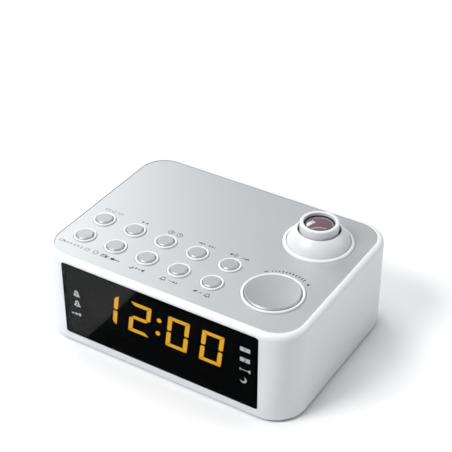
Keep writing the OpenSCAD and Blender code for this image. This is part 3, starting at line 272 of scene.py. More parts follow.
def piece(name, bm, finish, body="casing", replaced=(), sharp=32):
    """Makes a shape in millimetres into a piece: merges and orients it and brings it to metres."""
    bmesh.ops.remove_doubles(bm, verts=bm.verts, dist=1e-4)
    bmesh.ops.recalc_face_normals(bm, faces=bm.faces)
    bmesh.ops.scale(bm, vec=(MM, MM, MM), verts=bm.verts)
    dress(name, bm, finish, body, replaced, sharp)


def mesh_of(name, bm):
    """Mesh made from a shape, which is used up."""
    mesh = bpy.data.meshes.new(name)
    bm.to_mesh(mesh)
    bm.free()
    return mesh


def dress(name, bm, finish, body, replaced, sharp):
    """Makes a shape into a piece on its body, sharp at edges that turn by more than an angle."""
    made = bpy.data.objects.new(name, mesh_of(name, bm))
    made.data.shade_smooth()
    made.data.set_sharp_from_angle(angle=math.radians(sharp))
    made.data.materials.append(finish)
    bpy.context.scene.collection.objects.link(made)
    shading = made.modifiers.new("even shading", "WEIGHTED_NORMAL")
    shading.keep_sharp = True
    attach(made, body)
    if replaced:
        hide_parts(*replaced)


# ---- finishes ----

class Wire:
    """An output of a finish's nodes. A sum or product with it adds a Math node."""

    def __init__(self, finish, socket):
        self.finish = finish
        self.socket = socket

    def maths(self, operation, *values):
        return self.finish.node("ShaderNodeMath", {"operation": operation}, dict(enumerate(values)))

    def __add__(self, other):
        return self.maths("ADD", self, other)

    def __mul__(self, other):
        return self.maths("MULTIPLY", self, other)

    __radd__ = __add__
    __rmul__ = __mul__


class Finish:
    """A material on one Principled shader, with the patterns that vary it."""

    def __init__(self, name, **constants):
        self.material = bpy.data.materials.new(name)
        self.material.use_nodes = True
        self.tree = self.material.node_tree
        self.tree.nodes.clear()
        output = self.tree.nodes.new("ShaderNodeOutputMaterial")
        self.shader = self.tree.nodes.new("ShaderNodeBsdfPrincipled")
        self.tree.links.new(self.shader.outputs[0], output.inputs[0])
        self.set(**constants)
        self.place = self.node("ShaderNodeTexCoord", output="Object")

    def set(self, **inputs):
        """Sets inputs of the shader, named with _ for each space, to values or wires."""
        for name, value in inputs.items():
            self.feed(self.shader.inputs[name.replace("_", " ")], value)

    def feed(self, socket, value):
        if isinstance(value, Wire):
            self.tree.links.new(value.socket, socket)
        elif hasattr(value, "__len__") and len(value) == 3 and len(socket.default_value) == 4:
            socket.default_value = (*value, 1)
        else:
            socket.default_value = value

    def node(self, kind, settings=None, inputs=None, output=0):
        """Adds a node: its settings first, then the values or wires of its inputs."""
        made = self.tree.nodes.new(kind)
        for name, value in (settings or {}).items():
            setattr(made, name, value)
        for name, value in (inputs or {}).items():
            self.feed(made.inputs[name], value)
        return Wire(self, made.outputs[output])

    def noise(self, size_mm, detail=2, roughness=0.5):
        """Cloudy pattern from 0 to 1 with features of about this size."""
        return self.node(
            "ShaderNodeTexNoise", None,
            {
                "Vector": self.place, "Scale": 1 / (size_mm * MM), "Detail": detail,
                "Roughness": roughness,
            },
        )

    def mix(self, share, one, other):
        """Colour between two, by a share from 0 to 1."""
        return self.node(
            "ShaderNodeMix", {"data_type": "RGBA"}, {0: share, 6: one, 7: other}, output=2,
        )

    def relief(self, height, depth_mm):
        """Feeds a height pattern to the shader's normal."""
        bump = self.node(
            "ShaderNodeBump", None, {"Height": height, "Distance": depth_mm * MM, "Strength": 1},
            output="Normal",
        )
        self.set(Normal=bump)


def shaded(colour, share):
    """The colour made darker, to this share of its light."""
    return tuple(c * share for c in colour)


def moulded(name, colour, roughness, grain_mm=0.35, depth_mm=0.004, **constants):
    """Moulded plastic: fine spark-eroded grain, and a slight unevenness in colour and gloss."""
    made = Finish(name, **constants)
    cloud = made.noise(18, detail=3)
    grain = made.noise(grain_mm, detail=2)
    made.set(
        Base_Color=made.mix(cloud, shaded(colour, 0.97), colour),
        Roughness=cloud * 0.06 + grain * 0.04 + (roughness - 0.05),
    )
    made.relief(grain, depth_mm)
    return made.material


def metal_paint(name, colour, roughness, metallic):
    """Satin silver paint: fine flakes that differ in brightness and tilt."""
    made = Finish(name, Metallic=metallic)
    flakes = made.noise(0.16, detail=1)
    cloud = made.noise(30, detail=2)
    made.set(
        Base_Color=made.mix(flakes * 0.7 + cloud * 0.3, shaded(colour, 0.88), colour),
        Roughness=flakes * 0.08 + cloud * 0.05 + (roughness - 0.06),
    )
    made.relief(flakes, 0.0015)
    return made.material


def bare_metal(name, colour, roughness):
    """Plated or drawn metal with fine marks."""
    made = Finish(name, Metallic=1.0)
    marks = made.noise(0.5, detail=4)
    made.set(
        Base_Color=made.mix(marks, shaded(colour, 0.85), colour),
        Roughness=marks * 0.15 + (roughness - 0.07),
    )
    made.relief(marks, 0.002)
    return made.material


def circuit_board(name):
    """Green solder mask over copper tracks."""
    made = Finish(name, IOR=1.5)
    tracks = made.node(
        "ShaderNodeTexBrick", {"offset": 0.5},
        {
            "Vector": made.place, "Scale": 1, "Mortar Size": 0.6 * MM, "Brick Width": 9 * MM,
            "Row Height": 3.5 * MM,
        },
        output="Fac",
    )
    speck = made.noise(1.2, detail=3)
    mask = made.mix(speck, (0.012, 0.09, 0.03), (0.02, 0.13, 0.05))
    made.set(Base_Color=made.mix(tracks, mask, (0.05, 0.24, 0.09)), Roughness=speck * 0.15 + 0.25)
    made.relief(tracks, 0.02)
    return made.material


def smoked_pane(name):
    """Glossy smoked acrylic that lets the lit digits through, with faint wipe marks."""
    made = Finish(name, Alpha=0.35, Specular_IOR_Level=0.3, IOR=1.49)
    wipe = made.noise(14, detail=4, roughness=0.6)
    made.set(
        Base_Color=made.mix(wipe, (0.002, 0.0025, 0.003), (0.004, 0.0045, 0.005)),
        Roughness=wipe * 0.04 + 0.02,
    )
    return made.material


def lit_plastic(name, colour, edge_colour, strength):
    """Diffusing resin lit from behind, a little uneven."""
    made = Finish(name, Roughness=0.5, Base_Color=(0.2, 0.09, 0.01), Emission_Strength=strength)
    uneven = made.noise(2.2, detail=1)
    made.set(Emission_Color=made.mix(uneven, edge_colour, colour))
    return made.material


def optical_glass(name, colour, deep_colour, alpha):
    """Coated lens: dark, glossy, with a colour that shifts across it."""
    made = Finish(name, Alpha=alpha, Roughness=0.03, Coat_Weight=1, Specular_IOR_Level=1)
    across = made.noise(6, detail=1)
    made.set(Base_Color=made.mix(across, deep_colour, colour))
    return made.material


def printed_ink(name, colour):
    """Screen-printed ink, a little mottled."""
    made = Finish(name)
    mottle = made.noise(0.4, detail=2)
    made.set(
        Base_Color=made.mix(mottle, shaded(colour, 0.8), colour), Roughness=mottle * 0.15 + 0.38,
    )
    return made.material


def paper_cone(name):
    """Pressed paper pulp."""
    made = Finish(name)
    fibres = made.noise(0.8, detail=5, roughness=0.7)
    made.set(
        Base_Color=made.mix(fibres, (0.02, 0.02, 0.02), (0.06, 0.055, 0.05)),
        Roughness=fibres * 0.1 + 0.8,
    )
    made.relief(fibres, 0.06)
    return made.material


FINISHES = {
    "white_plastic": moulded("white_plastic", (0.72, 0.74, 0.76), 0.36),
    "projector_white": moulded("projector_white", (0.70, 0.715, 0.73), 0.36, grain_mm=0.3),
    "silver_plate": metal_paint("silver_plate", (0.575, 0.595, 0.612), 0.40, 0.45),
    "key_silver": metal_paint("key_silver", (0.46, 0.478, 0.495), 0.44, 0.4),
    "smoked_window": smoked_pane("smoked_window"),
    "display_black": moulded(
        "display_black", (0.002, 0.002, 0.0022), 0.6, Specular_IOR_Level=0.05,
    ),
    "lit_amber": lit_plastic("lit_amber", (1.0, 0.54, 0.04), (0.93, 0.46, 0.028), 1.7),
    "unlit_segment": moulded(
        "unlit_segment", (0.006, 0.0055, 0.005), 0.5, Specular_IOR_Level=0.05,
    ),
    "lamp_chips": moulded("lamp_chips", (0.70, 0.62, 0.30), 0.4),
    "circuit_board": circuit_board("circuit_board"),
    "black_plastic": moulded("black_plastic", (0.02, 0.02, 0.021), 0.42),
    "black_rubber": moulded(
        "black_rubber", (0.018, 0.018, 0.018), 0.75, grain_mm=0.6, depth_mm=0.02,
    ),
    "screw_steel": bare_metal("screw_steel", (0.55, 0.55, 0.54), 0.35),
    "cell_steel": bare_metal("cell_steel", (0.70, 0.69, 0.66), 0.25),
    "magnet_iron": bare_metal("magnet_iron", (0.10, 0.10, 0.11), 0.55),
    "cone_paper": paper_cone("cone_paper"),
    "capacitor_sleeve": moulded("capacitor_sleeve", (0.02, 0.03, 0.10), 0.3),
    "lens_glass": optical_glass("lens_glass", (0.20, 0.14, 0.15), (0.13, 0.09, 0.10), 0.88),
    "lcd_glass": optical_glass("lcd_glass", (0.10, 0.11, 0.12), (0.06, 0.07, 0.08), 0.9),
    "red_lamp": lit_plastic("red_lamp", (0.9, 0.03, 0.02), (0.7, 0.01, 0.01), 1.5),
}
sign_ink = printed_ink("sign_ink", (0.05, 0.053, 0.057))
# Grey of the strip in the plate's seam: painted shade
seam_shade_grey = moulded("seam_shade_grey", (0.2, 0.205, 0.21), 0.6)
window_ink = printed_ink("window_ink", (0.46, 0.47, 0.48))

for part in frame["record"]["subparts"]:
    node = frame["nodes"][part["node"]]
    for holder in node.material_slots:
        holder.material = FINISHES[part["material_slot"]]


# ---- cabinet ----

def cabinet_loops(bm, path):
    """Loops round the cabinet from (inset, height) points."""
    return [
        rounded_loop(bm, WIDTH - 2 * inset, DEPTH - 2 * inset, CORNER_R - inset, level(0, 0, z))
        for inset, z in path
    ]


def raised_rings():
    """Centre and profile of each ring on the deck: from its foot, over it and down its hole."""
    for key in KEYS:
        yield centre_mm(key), ring_profile(KEY_HOLE_R, KEY_RING_W, KEY_RING_RISE)
    yield centre_mm("snooze_key"), ring_profile(SNOOZE_HOLE_R, SNOOZE_RING_W, SNOOZE_RING_RISE)
    yield ball_middle, ball_ring_profile()


def ring_profile(hole_r, width, rise):
    """Ring round a hole in the deck, with a half-round top."""
    top = PLATE_TOP + rise
    return rounded([
        (hole_r + width, DECK_TOP), (hole_r + width, top, width / 2), (hole_r, top, width / 2),
        (hole_r, DECK_UNDER),
    ])


def ball_ring_profile():
    """Ring round the projector, whose inside follows the ball's seat."""
    edge_r = BALL_RING_W / 2
    middle = Vector((BALL_RING_R - edge_r, BALL_DROP + BALL_RING_RISE - edge_r))
    reach = middle.length
    meet = math.acos((SEAT_R ** 2 - reach ** 2 - edge_r ** 2) / (2 * reach * edge_r))
    crest = arc(middle, edge_r, 0, math.degrees(meet + math.atan2(middle.y, middle.x)))
    seat = arc(
        (0, 0), SEAT_R, math.degrees(math.atan2(crest[-1].y, crest[-1].x)),
        math.degrees(math.asin((DECK_UNDER - BALL_Z) / SEAT_R)),
    )
    lift = Vector((0, BALL_Z))
    return [Vector((BALL_RING_R, DECK_TOP))] + [p + lift for p in crest + seat[1:]]


def pane_loops(bm, path):
    """Loops that stand round the window's pane, from (inset, y) points."""
    return [
        rounded_loop(
            bm, pane_high.x - pane_low.x - 2 * inset, pane_high.z - pane_low.z - 2 * inset,
            max(PANE_R - PLAY - inset, PANE_LEAST_R), upright(0, y, PANE_MIDDLE),
        )
        for inset, y in path
    ]


def window_loops(bm):
    """Loops of the window's opening: its soft edge, the pane's recess, the ledge and beyond."""
    path = rounded([
        (-2 * SOFT_EDGE, 0), (0, 0, SOFT_EDGE), (0, PANE_DEPTH), (LEDGE, PANE_DEPTH), (LEDGE, WALL),
    ], steps=4)
    return pane_loops(bm, [(inset - PLAY, cabinet_low.y + depth) for inset, depth in path])


def make_cabinet():
    """White shell in one: walls, rim, deck with its rings, window opening and socket holes."""
    bm = bmesh.new()
    body = cabinet_loops(bm, rounded([
        (RIM_WIDTH, DECK_TOP), (RIM_WIDTH, RIM_TOP, SOFT_EDGE), (0, RIM_TOP, TOP_ROUND),
        (0, BOTTOM, BOTTOM_ROUND), (WALL, BOTTOM), (WALL, DECK_UNDER),
    ], steps=12))
    skin(bm, body)
    rings = []
    for middle, profile in raised_rings():
        loops = [round_loop(bm, r, level(middle.x, middle.y, z)) for r, z in profile]
        skin(bm, loops)
        rings.append(loops)
    sheet(bm, [body[0]] + [loops[0] for loops in rings], (0, 0, 1))
    sheet(bm, [body[-1]] + [loops[-1] for loops in rings], (0, 0, -1))
    window = window_loops(bm)
    skin(bm, window)
    pierce(bm, cabinet_low.y, [window[0]])
    pierce(bm, cabinet_low.y + WALL, [window[-1]])
    sockets = []
    for node, hole_r in REAR_HOLES.items():
        middle = centre_mm(node)
        hole = rounded([
            (hole_r + 2 * SOFT_EDGE, 0), (hole_r, 0, SOFT_EDGE), (hole_r, WALL),
        ], steps=4)
        loops = [
            round_loop(bm, r, upright(middle.x, cabinet_high.y - depth, SOCKET_Z), SOCKET_STEPS)
            for r, depth in hole
        ]
        skin(bm, loops)
        sockets.append(loops)
    pierce(bm, cabinet_high.y, [loops[0] for loops in sockets])
    pierce(bm, cabinet_high.y - WALL, [loops[-1] for loops in sockets])
    piece("cabinet_shell", bm, FINISHES["white_plastic"], "casing", ["cabinet"])


def make_top_plate():
    """Silver plate that lies in the rim, with an opening for each ring."""
    bm = bmesh.new()
    edge = rounded([(2 * SOFT_EDGE, PLATE_TOP), (0, PLATE_TOP, PLATE_EDGE), (0, DECK_TOP)], steps=4)
    outer = cabinet_loops(bm, [(RIM_WIDTH + PLAY + inset, z) for inset, z in edge])
    skin(bm, outer)
    openings = []
    for middle, profile in raised_rings():
        radius = profile[0].x + PLAY
        loops = [round_loop(bm, radius + grow, level(middle.x, middle.y, z)) for grow, z in edge]
        skin(bm, loops)
        openings.append(loops)
    sheet(bm, [outer[0]] + [loops[0] for loops in openings], (0, 0, 1))
    sheet(bm, [outer[-1]] + [loops[-1] for loops in openings], (0, 0, -1))
    piece("silver_top", bm, FINISHES["silver_plate"], "casing", ["top_plate"])


def make_seam_shade_strip():
    """Grey strip in the gap between plate and rim, lipped up the rim's inner wall: painted shade of
    the seam.
    """
    bm = bmesh.new()
    outer, lip, inner = RIM_WIDTH - INK, RIM_WIDTH + SHADE_STRIP_LIP_T, RIM_WIDTH + PLAY + INK
    base, top, lip_top = (PLATE_TOP + rise for rise in (-SHADE_STRIP_SUNK, SHADE_STRIP_RISE, SHADE_STRIP_LIP_RISE))
    loops = cabinet_loops(bm, [
        (inner, base), (inner, top), (lip, top), (lip, lip_top), (outer, lip_top), (outer, base),
    ])
    skin(bm, loops + loops[:1])
    piece("seam_shade_strip", bm, seam_shade_grey)


def make_window_pane():
    """Smoked pane with soft edges. The first and last point of its path only steer the rounding."""
    bm = bmesh.new()
    front, back = pane_low.y, pane_high.y - INK
    path = rounded([(2, front), (0, front, SOFT_EDGE), (0, back, SOFT_EDGE), (2, back)], steps=4)
    loops = pane_loops(bm, path[1:-1])
    skin(bm, loops)
    sheet(bm, [loops[0]], (0, -1, 0))
    sheet(bm, [loops[-1]], (0, 1, 0))
    piece("window_pane", bm, FINISHES["smoked_window"], "casing", ["front_window"])


def make_pane_border():
    """Black border round the pane's edge and back, which hides the ledge that it is bonded to."""
    bm = bmesh.new()
    front, back, inner = pane_low.y + BORDER_FROM_FRONT, pane_high.y, LEDGE + BORDER_OVER_LEDGE
    loops = pane_loops(bm, [
        (-INK, front), (-INK, back), (inner, back), (inner, back - INK), (0, back - INK),
        (0, front),
    ])
    skin(bm, loops + loops[:1])
    piece("pane_border", bm, FINISHES["display_black"])


def make_display_gasket():
    """Black foam frame that closes the gap between the mask and the digits' housing."""
    low, high = box_mm("led_housing")
    front, back = box_mm("display_mask")[1].y, low.y + GASKET_LAP
    middle = (low + high) / 2
    bm = bmesh.new()
    loops = [
        rounded_loop(
            bm, high.x - low.x + 2 * grow, high.z - low.z + 2 * grow, GASKET_R + grow,
            upright(middle.x, y, middle.z),
        )
        for grow, y in ((0, front), (GASKET_WIDTH, front), (GASKET_WIDTH, back), (CLEAR, back))
    ]
    skin(bm, loops + loops[:1])
    piece("display_gasket", bm, FINISHES["display_black"])


# ---- printed signs ----

class Stamp:
    """Signs printed on a flat surface: strokes and filled shapes, all one thin layer of ink."""

    # Least share of the full width that a mitre is worked out with, so that no turn grows a spike
    MITRE_LIMIT = 0.4

    def __init__(self, place):
        self.bm = bmesh.new()
        self.place = place
        self.at = Vector((0, 0))

    def move(self, x, y):
        """Sets the point that the next shapes are measured from."""
        self.at = Vector((x, y))
        return self

    def corner(self, point):
        spot = self.at + Vector(point)
        return self.bm.verts.new(self.place @ Vector((spot.x, spot.y, -INK_SUNK)))

    def fill(self, points):
        self.bm.faces.new([self.corner(p) for p in points])
        return self

    def stroke(self, points, width=0.32, closed=False):
        """Line of even width through the points, mitred where it turns."""
        points = [Vector(p) for p in points]
        sides = []
        for i, here in enumerate(points):
            before = points[i - 1] if i or closed else here
            after = points[(i + 1) % len(points)] if i + 1 < len(points) or closed else here
            steps = [d.normalized() for d in (here - before, after - here) if d.length > 0]
            ways = [Vector((-d.y, d.x)) for d in steps]
            across = sum(ways, Vector((0, 0))).normalized()
            across *= width / 2 / max(across.dot(ways[0]), self.MITRE_LIMIT)
            sides.append((self.corner(here + across), self.corner(here - across)))
        for (a, b), (c, d) in zip(sides, sides[1:] + sides[:1] * closed):
            self.bm.faces.new((a, b, d, c))
        return self

    def ring(self, x, y, radius, width=0.32, start=0, end=360):
        """Circle, or the part of one between two angles in degrees."""
        closed = abs(end - start) >= 360
        points = arc((x, y), radius, start, end, steps=24)
        return self.stroke(points[:-1] if closed else points, width, closed)

    def disc(self, x, y, radius):
        return self.fill(arc((x, y), radius, 0, 360, steps=16)[:-1])

    def box(self, x0, y0, x1, y1):
        return self.fill([(x0, y0), (x1, y0), (x1, y1), (x0, y1)])

    def frame(self, x0, y0, x1, y1, width=0.32):
        return self.stroke([(x0, y0), (x1, y0), (x1, y1), (x0, y1)], width, closed=True)

    def moon(self, size):
        """Crescent with its horns to the top and to the left."""
        radius, hollow_r, apart = size / 2, size * 0.41, size * 0.21

        def half_opening(one, other):
            """Half the angle, from one circle's middle, between its meetings with the other."""
            return math.degrees(math.acos((apart ** 2 + one ** 2 - other ** 2) / (2 * apart * one)))

        open_half, tip_half = half_opening(radius, hollow_r), half_opening(hollow_r, radius)
        centre = Vector((-apart, apart)) * math.sqrt(0.5)
        outer = arc((0, 0), radius, 135 - open_half, open_half - 225, steps=28)
        hollow = arc(centre, hollow_r, -45 - tip_half, tip_half - 45, steps=22)
        return self.fill(outer + hollow[1:-1])

    def bell(self, size):
        """Bell with a broad foot."""
        k = size / 4
        side = [
            (0.55, 1.75), (1.1, 1.2), (1.3, 0.4), (1.45, -0.6), (2.1, -1.5), (2.1, -1.9),
            (0.55, -1.9),
        ]
        points = side + [(0, -2.4)] + [(-x, y) for x, y in reversed(side)]
        return self.fill([(x * k, y * k) for x, y in [(0, 1.95)] + points])

    def bell_outline(self, size):
        """Bell drawn as a line, with a filled clapper."""
        k = size / 4
        side = [(0, 1.7), (0.9, 1.3), (1.25, 0.4), (1.4, -0.7), (2, -1.5)]
        points = side + [(-x, y) for x, y in reversed(side[1:])]
        self.stroke([(x * k, y * k) for x, y in points], 0.42, closed=True)
        return self.box(-0.6 * k, -2.2 * k, 0.6 * k, -1.6 * k)

    def horn(self, length):
        """Bar with a knob at one end and a flared horn at the other."""
        self.box(-length / 2, -0.75, -length / 2 + 0.6, 0.75)
        self.box(-length / 2 + 0.6, -0.2, length / 2 - 1.6, 0.2)
        return self.fill([
            (length / 2 - 1.6, -0.25), (length / 2 - 0.4, -1.2), (length / 2, -1.2),
            (length / 2, 1.2), (length / 2 - 0.4, 1.2), (length / 2 - 1.6, 0.25),
        ])

    def speaker(self, size):
        """Loudspeaker's box and cone."""
        k = size / 2
        return self.fill([
            (-k, -0.4 * k), (-0.4 * k, -0.4 * k), (0.3 * k, -k), (0.3 * k, k), (-0.4 * k, 0.4 * k),
            (-k, 0.4 * k),
        ])

    def digit(self, number, height, width=0.4):
        """Numeral 1 or 2."""
        h, w = height / 2, height * 0.28
        if number == 1:
            return self.stroke([(-w * 0.7, h * 0.55), (0, h), (0, -h)], width)
        bow = arc((0, h - w), w, 170, -35, steps=10)
        return self.stroke(bow + [Vector((-w, -h)), Vector((w * 1.15, -h))], width)

    def press(self, name, ink):
        """Gives the layer its thickness and makes it a piece."""
        grown = bmesh.ops.extrude_face_region(self.bm, geom=self.bm.faces[:])["geom"]
        lift = self.place.to_3x3() @ Vector((0, 0, INK_SUNK + INK))
        verts = [v for v in grown if isinstance(v, bmesh.types.BMVert)]
        bmesh.ops.translate(self.bm, vec=lift, verts=verts)
        piece(name, self.bm, ink, sharp=20)


# Depth of the signs before the front keys and behind the back keys
FRONT_ROW = -48.45
BACK_ROW = -8.35


def print_front_row():
    """Signs before the front keys: beam, power, radio, plug, moon, horn, bells and speaker."""
    signs = Stamp(level(0, 0, PLATE_TOP))
    signs.move(-77.6, FRONT_ROW).frame(0, -0.85, 2.6, 0.85)
    signs.fill([(2.9, -0.35), (3.9, -0.75), (3.9, 0.75), (2.9, 0.35)])
    for tilt in (-1, 0, 1):
        for k in range(5):
            a, b = 5 + 2.5 * k, 6.5 + 2.5 * k
            signs.stroke([(a, tilt * a * 0.055), (b, tilt * b * 0.055)], 0.24)
    signs.frame(18.4, -1.05, 21.1, 1.05)
    signs.move(-51.9, -48.1).ring(0, 0, 1.5, 0.42, 125, 415).stroke([(0, 0.3), (0, 1.9)], 0.42)
    signs.move(-45.6, FRONT_ROW).frame(-2.4, -1, 2.4, 1).ring(-1.1, 0, 0.55, 0.26)
    signs.box(0.3, -0.65, 1.9, 0.65).stroke([(-2, 1.1), (0.6, 1.75)], 0.26)
    signs.move(-38, FRONT_ROW).box(-3.2, -0.95, -0.4, 0.95).box(-0.15, -0.42, 1.6, 0.42)
    signs.fill([(1.85, -0.42), (2.7, -0.42), (3.2, 0), (2.7, 0.42), (1.85, 0.42)])
    signs.move(-26.3, -49).moon(2.9)
    signs.move(-20.8, -48.6).horn(5.9)
    signs.move(-4.8, -48.4).bell_outline(3.2)
    signs.move(1.5, FRONT_ROW).box(-2.8, -0.16, 0.3, 0.16)
    signs.fill([(0.2, -0.95), (1.9, 0), (0.2, 0.95)]).box(2.1, -0.7, 2.9, 0.7)
    signs.move(16.9, -48.5).speaker(2.4).stroke([(-1.7, -1), (1.5, 1)], 0.28)
    signs.move(20.2, -48.7).box(-0.8, -0.15, 0.8, 0.15)
    signs.box(-0.15, -0.8, 0.15, -0.15).box(-0.15, 0.15, 0.15, 0.8)
    signs.move(24.6, -48.4).bell_outline(3.3)
    signs.press("front_row_signs", sign_ink)


def print_back_row():
    """Signs behind the back keys: turned display, facing arrows, clocks, skips and volume."""
    signs = Stamp(level(0, 0, PLATE_TOP))
    signs.move(-67.2, BACK_ROW).frame(-6.2, -0.7, -3, 0.7, 0.24).frame(3, -0.7, 6.2, 0.7, 0.24)
    signs.ring(0, 0, 1.1, 0.24, 200, 480).fill([(-1.7, -0.2), (-0.4, -0.2), (-1.05, -1)])
    signs.move(-44.6, BACK_ROW)
    signs.fill([(-2.1, -0.9), (-0.3, 0), (-2.1, 0.9)]).fill([(2.1, -0.9), (2.1, 0.9), (0.3, 0)])
    for x in (-25.9, -20):
        signs.move(x, BACK_ROW).ring(0, 0, 1.75, 0.38).stroke([(0, 1.1), (0, 0), (0.85, 0)], 0.4)
    signs.move(-4, BACK_ROW).box(-2.4, -0.75, -2.05, 0.75)
    for x in (-1.9, -0.1):
        signs.fill([(x + 1.6, -0.75), (x + 1.6, 0.75), (x, 0)])
    signs.move(2, BACK_ROW).box(2, -0.75, 2.35, 0.75)
    for x in (-1.7, 0.1):
        signs.fill([(x, -0.75), (x + 1.6, 0), (x, 0.75)])
    signs.move(16.2, BACK_ROW).speaker(2.6)
    for radius in (1.1, 1.9, 2.7):
        signs.ring(0.6, 0, radius, 0.26, -50, 50)
    signs.move(24.8, BACK_ROW).fill([(-2.8, -0.55), (2.7, -0.55), (2.7, 0.75)])
    signs.press("back_row_signs", sign_ink)


def print_snooze_arc():
    """Moon, growing bars and sun, set round the back of the snooze key's ring."""
    middle = centre_mm("snooze_key")
    signs = Stamp(level(0, 0, PLATE_TOP))

    def spot(turned, radius=21.2):
        angle = math.radians(turned)
        return middle.x + radius * math.cos(angle), middle.y + radius * math.sin(angle)

    signs.move(*spot(131)).moon(2.4)
    signs.move(0, 0)
    for k in range(11):
        turned = 121 - 5.6 * k
        signs.stroke([spot(turned, 20.3), spot(turned, 21.2 + 0.13 * k)], 0.75)
    signs.move(*spot(53)).disc(0, 0, 0.75)
    for k in range(8):
        way = Vector((math.cos(k * math.pi / 4), math.sin(k * math.pi / 4)))
        signs.stroke([way * 1.05, way * 1.6], 0.25)
    signs.press("snooze_signs", sign_ink)


def print_window_signs():
    """Pale signs on the pane at both sides of the digits, with their numbers in black."""
    pale = Stamp(upright(0, pane_low.y, 0))
    black = Stamp(upright(0, pane_low.y - INK, 0))
    for number, z in ((1, 38.5), (2, 31.2)):
        pale.move(-56.65, z).bell(4.5)
        black.move(-56.65, z - 0.1).digit(number, 2.4)
    pale.move(-57.7, 23.2)
    for k in range(3):
        pale.box(-3.5 + 2.5 * k, -0.9, -1.8 + 2.5 * k, 0.1 + 0.45 * k)
    for number, z in ((1, 46.4), (2, 39.1)):
        pale.move(57.6, z).box(-3.15, -1.4, 3.15, 1.4)
        black.move(57.6, z).digit(number, 1.8, 0.36)
    pale.move(57.7, 31.9).horn(6.8)
    pale.move(56.7, 24.6).moon(4.3)
    black.press("window_numbers", FINISHES["display_black"])
    pale.press("window_signs", window_ink)


# ---- keys ----

def make_key(node):
    """Small round key with its flange and stem."""
    low, high = box_mm(node)
    middle = (low + high) / 2
    under = DECK_UNDER - FLANGE_T
    bm = bmesh.new()
    turn(bm, rounded([
        (0, low.z), (STEM_R, low.z), (STEM_R, under), (FLANGE_R, under), (FLANGE_R, DECK_UNDER),
        (KEY_R, DECK_UNDER), (KEY_R, high.z - KEY_BEVEL, KEY_ROUND),
        (KEY_R - KEY_BEVEL, high.z, KEY_ROUND), (0, high.z),
    ], steps=5), middle.x, middle.y, closed=False, steps=KEY_STEPS)
    piece(node + "_cap", bm, FINISHES["key_silver"], node, [node])


def make_snooze_key():
    """Large key: a cap with a shallow dish, hollow below between its skirt and boss."""
    low, high = box_mm("snooze_key")
    middle = (low + high) / 2
    under, web = DECK_UNDER - FLANGE_T, PLATE_TOP - SNOOZE_DISH
    edge, boss_r, skirt_r = SNOOZE_R - SNOOZE_BEVEL, STEM_R + SNOOZE_BOSS, SNOOZE_R - SNOOZE_SKIRT
    dish_r = (edge ** 2 + SNOOZE_DISH ** 2) / (2 * SNOOZE_DISH)
    half_angle = math.degrees(math.asin(edge / dish_r))
    dish = arc((0, high.z - SNOOZE_DISH + dish_r), dish_r, half_angle - 90, -90, steps=24)
    outside = rounded([
        (0, low.z), (STEM_R, low.z), (STEM_R, under), (boss_r, under), (boss_r, web),
        (skirt_r, web), (skirt_r, under), (SNOOZE_FLANGE_R, under), (SNOOZE_FLANGE_R, DECK_UNDER),
        (SNOOZE_R, DECK_UNDER), (SNOOZE_R, high.z - SNOOZE_BEVEL, SNOOZE_ROUND), (edge, high.z),
    ], steps=4)
    bm = bmesh.new()
    turn(bm, outside + dish[1:], middle.x, middle.y, closed=False)
    piece("snooze_cap", bm, FINISHES["key_silver"], "snooze_key", ["snooze_key"])


# ---- projector ----

def make_ball():
    """Domed ball with its web, the tube for the focus ring and the light tunnel, turned in one."""
    bm = bmesh.new()
    # Heights from the ball's middle, and radii, of what is inside
    cut, tunnel, web_low, web_high = -12, -8, 1.8, 3.8
    ledge_low, ledge_high, ledge_r, tunnel_r = 1.5, 3, 5.2, 10.8

    def up(radius, z):
        return math.degrees(math.asin(z / radius))

    mouth_up = math.degrees(math.acos(MOUTH_R / BALL_R))
    mouth_in = math.degrees(math.acos(MOUTH_R / BALL_IN_R))
    outside = arc((0, 0), BALL_R, up(BALL_R, cut), mouth_up, steps=48)
    upper = arc((0, 0), BALL_IN_R, mouth_in, up(BALL_IN_R, web_high), steps=12)
    lower = arc((0, 0), BALL_IN_R, up(BALL_IN_R, web_low), up(BALL_IN_R, cut), steps=20)
    inside = [
        (GUIDE_R, web_high), (GUIDE_R, GUIDE_TOP), (FOCUS_BORE_R, GUIDE_TOP),
        (FOCUS_BORE_R, ledge_high), (ledge_r, ledge_high), (ledge_r, ledge_low),
        (FOCUS_BORE_R, ledge_low), (FOCUS_BORE_R, tunnel), (tunnel_r, tunnel), (tunnel_r, web_low),
    ]
    profile = outside + upper + [Vector(p) for p in inside] + lower
    turn(bm, [(r, BALL_Z + z) for r, z in profile], ball_middle.x, ball_middle.y)
    start = BALL_IN_R + TRUNNION_LAP
    length = box_mm("projector_ball")[1].x - ball_middle.x - start
    for side in (-1, 1):
        middle = (ball_middle.x + side * (start + length / 2), ball_middle.y, BALL_Z)
        bmesh.ops.create_cone(
            bm, cap_ends=True, segments=32, radius1=TRUNNION_R, radius2=TRUNNION_R, depth=length,
            matrix=Matrix.Translation(middle) @ Matrix.Rotation(math.pi / 2, 4, "Y"),
        )
    piece(
        "projector_dome", bm, FINISHES["projector_white"], "projector_ball", ["projector_ball"],
    )


def make_focus_ring():
    """Collar that turns on the guide tube."""
    low, high = box_mm("focus_ring")
    sleeve_r, step = GUIDE_R + FOCUS_PLAY, BALL_Z + GUIDE_TOP + FOCUS_PLAY
    bm = bmesh.new()
    turn(bm, rounded([
        (sleeve_r, low.z), (FOCUS_R, low.z), (FOCUS_R, high.z, FOCUS_ROUND),
        (FOCUS_BORE_R, high.z, FOCUS_BORE_ROUND), (FOCUS_BORE_R, step), (sleeve_r, step),
    ]), ball_middle.x, ball_middle.y)
    piece(
        "focus_collar", bm, FINISHES["projector_white"], "focus_ring", ["focus_ring"],
    )


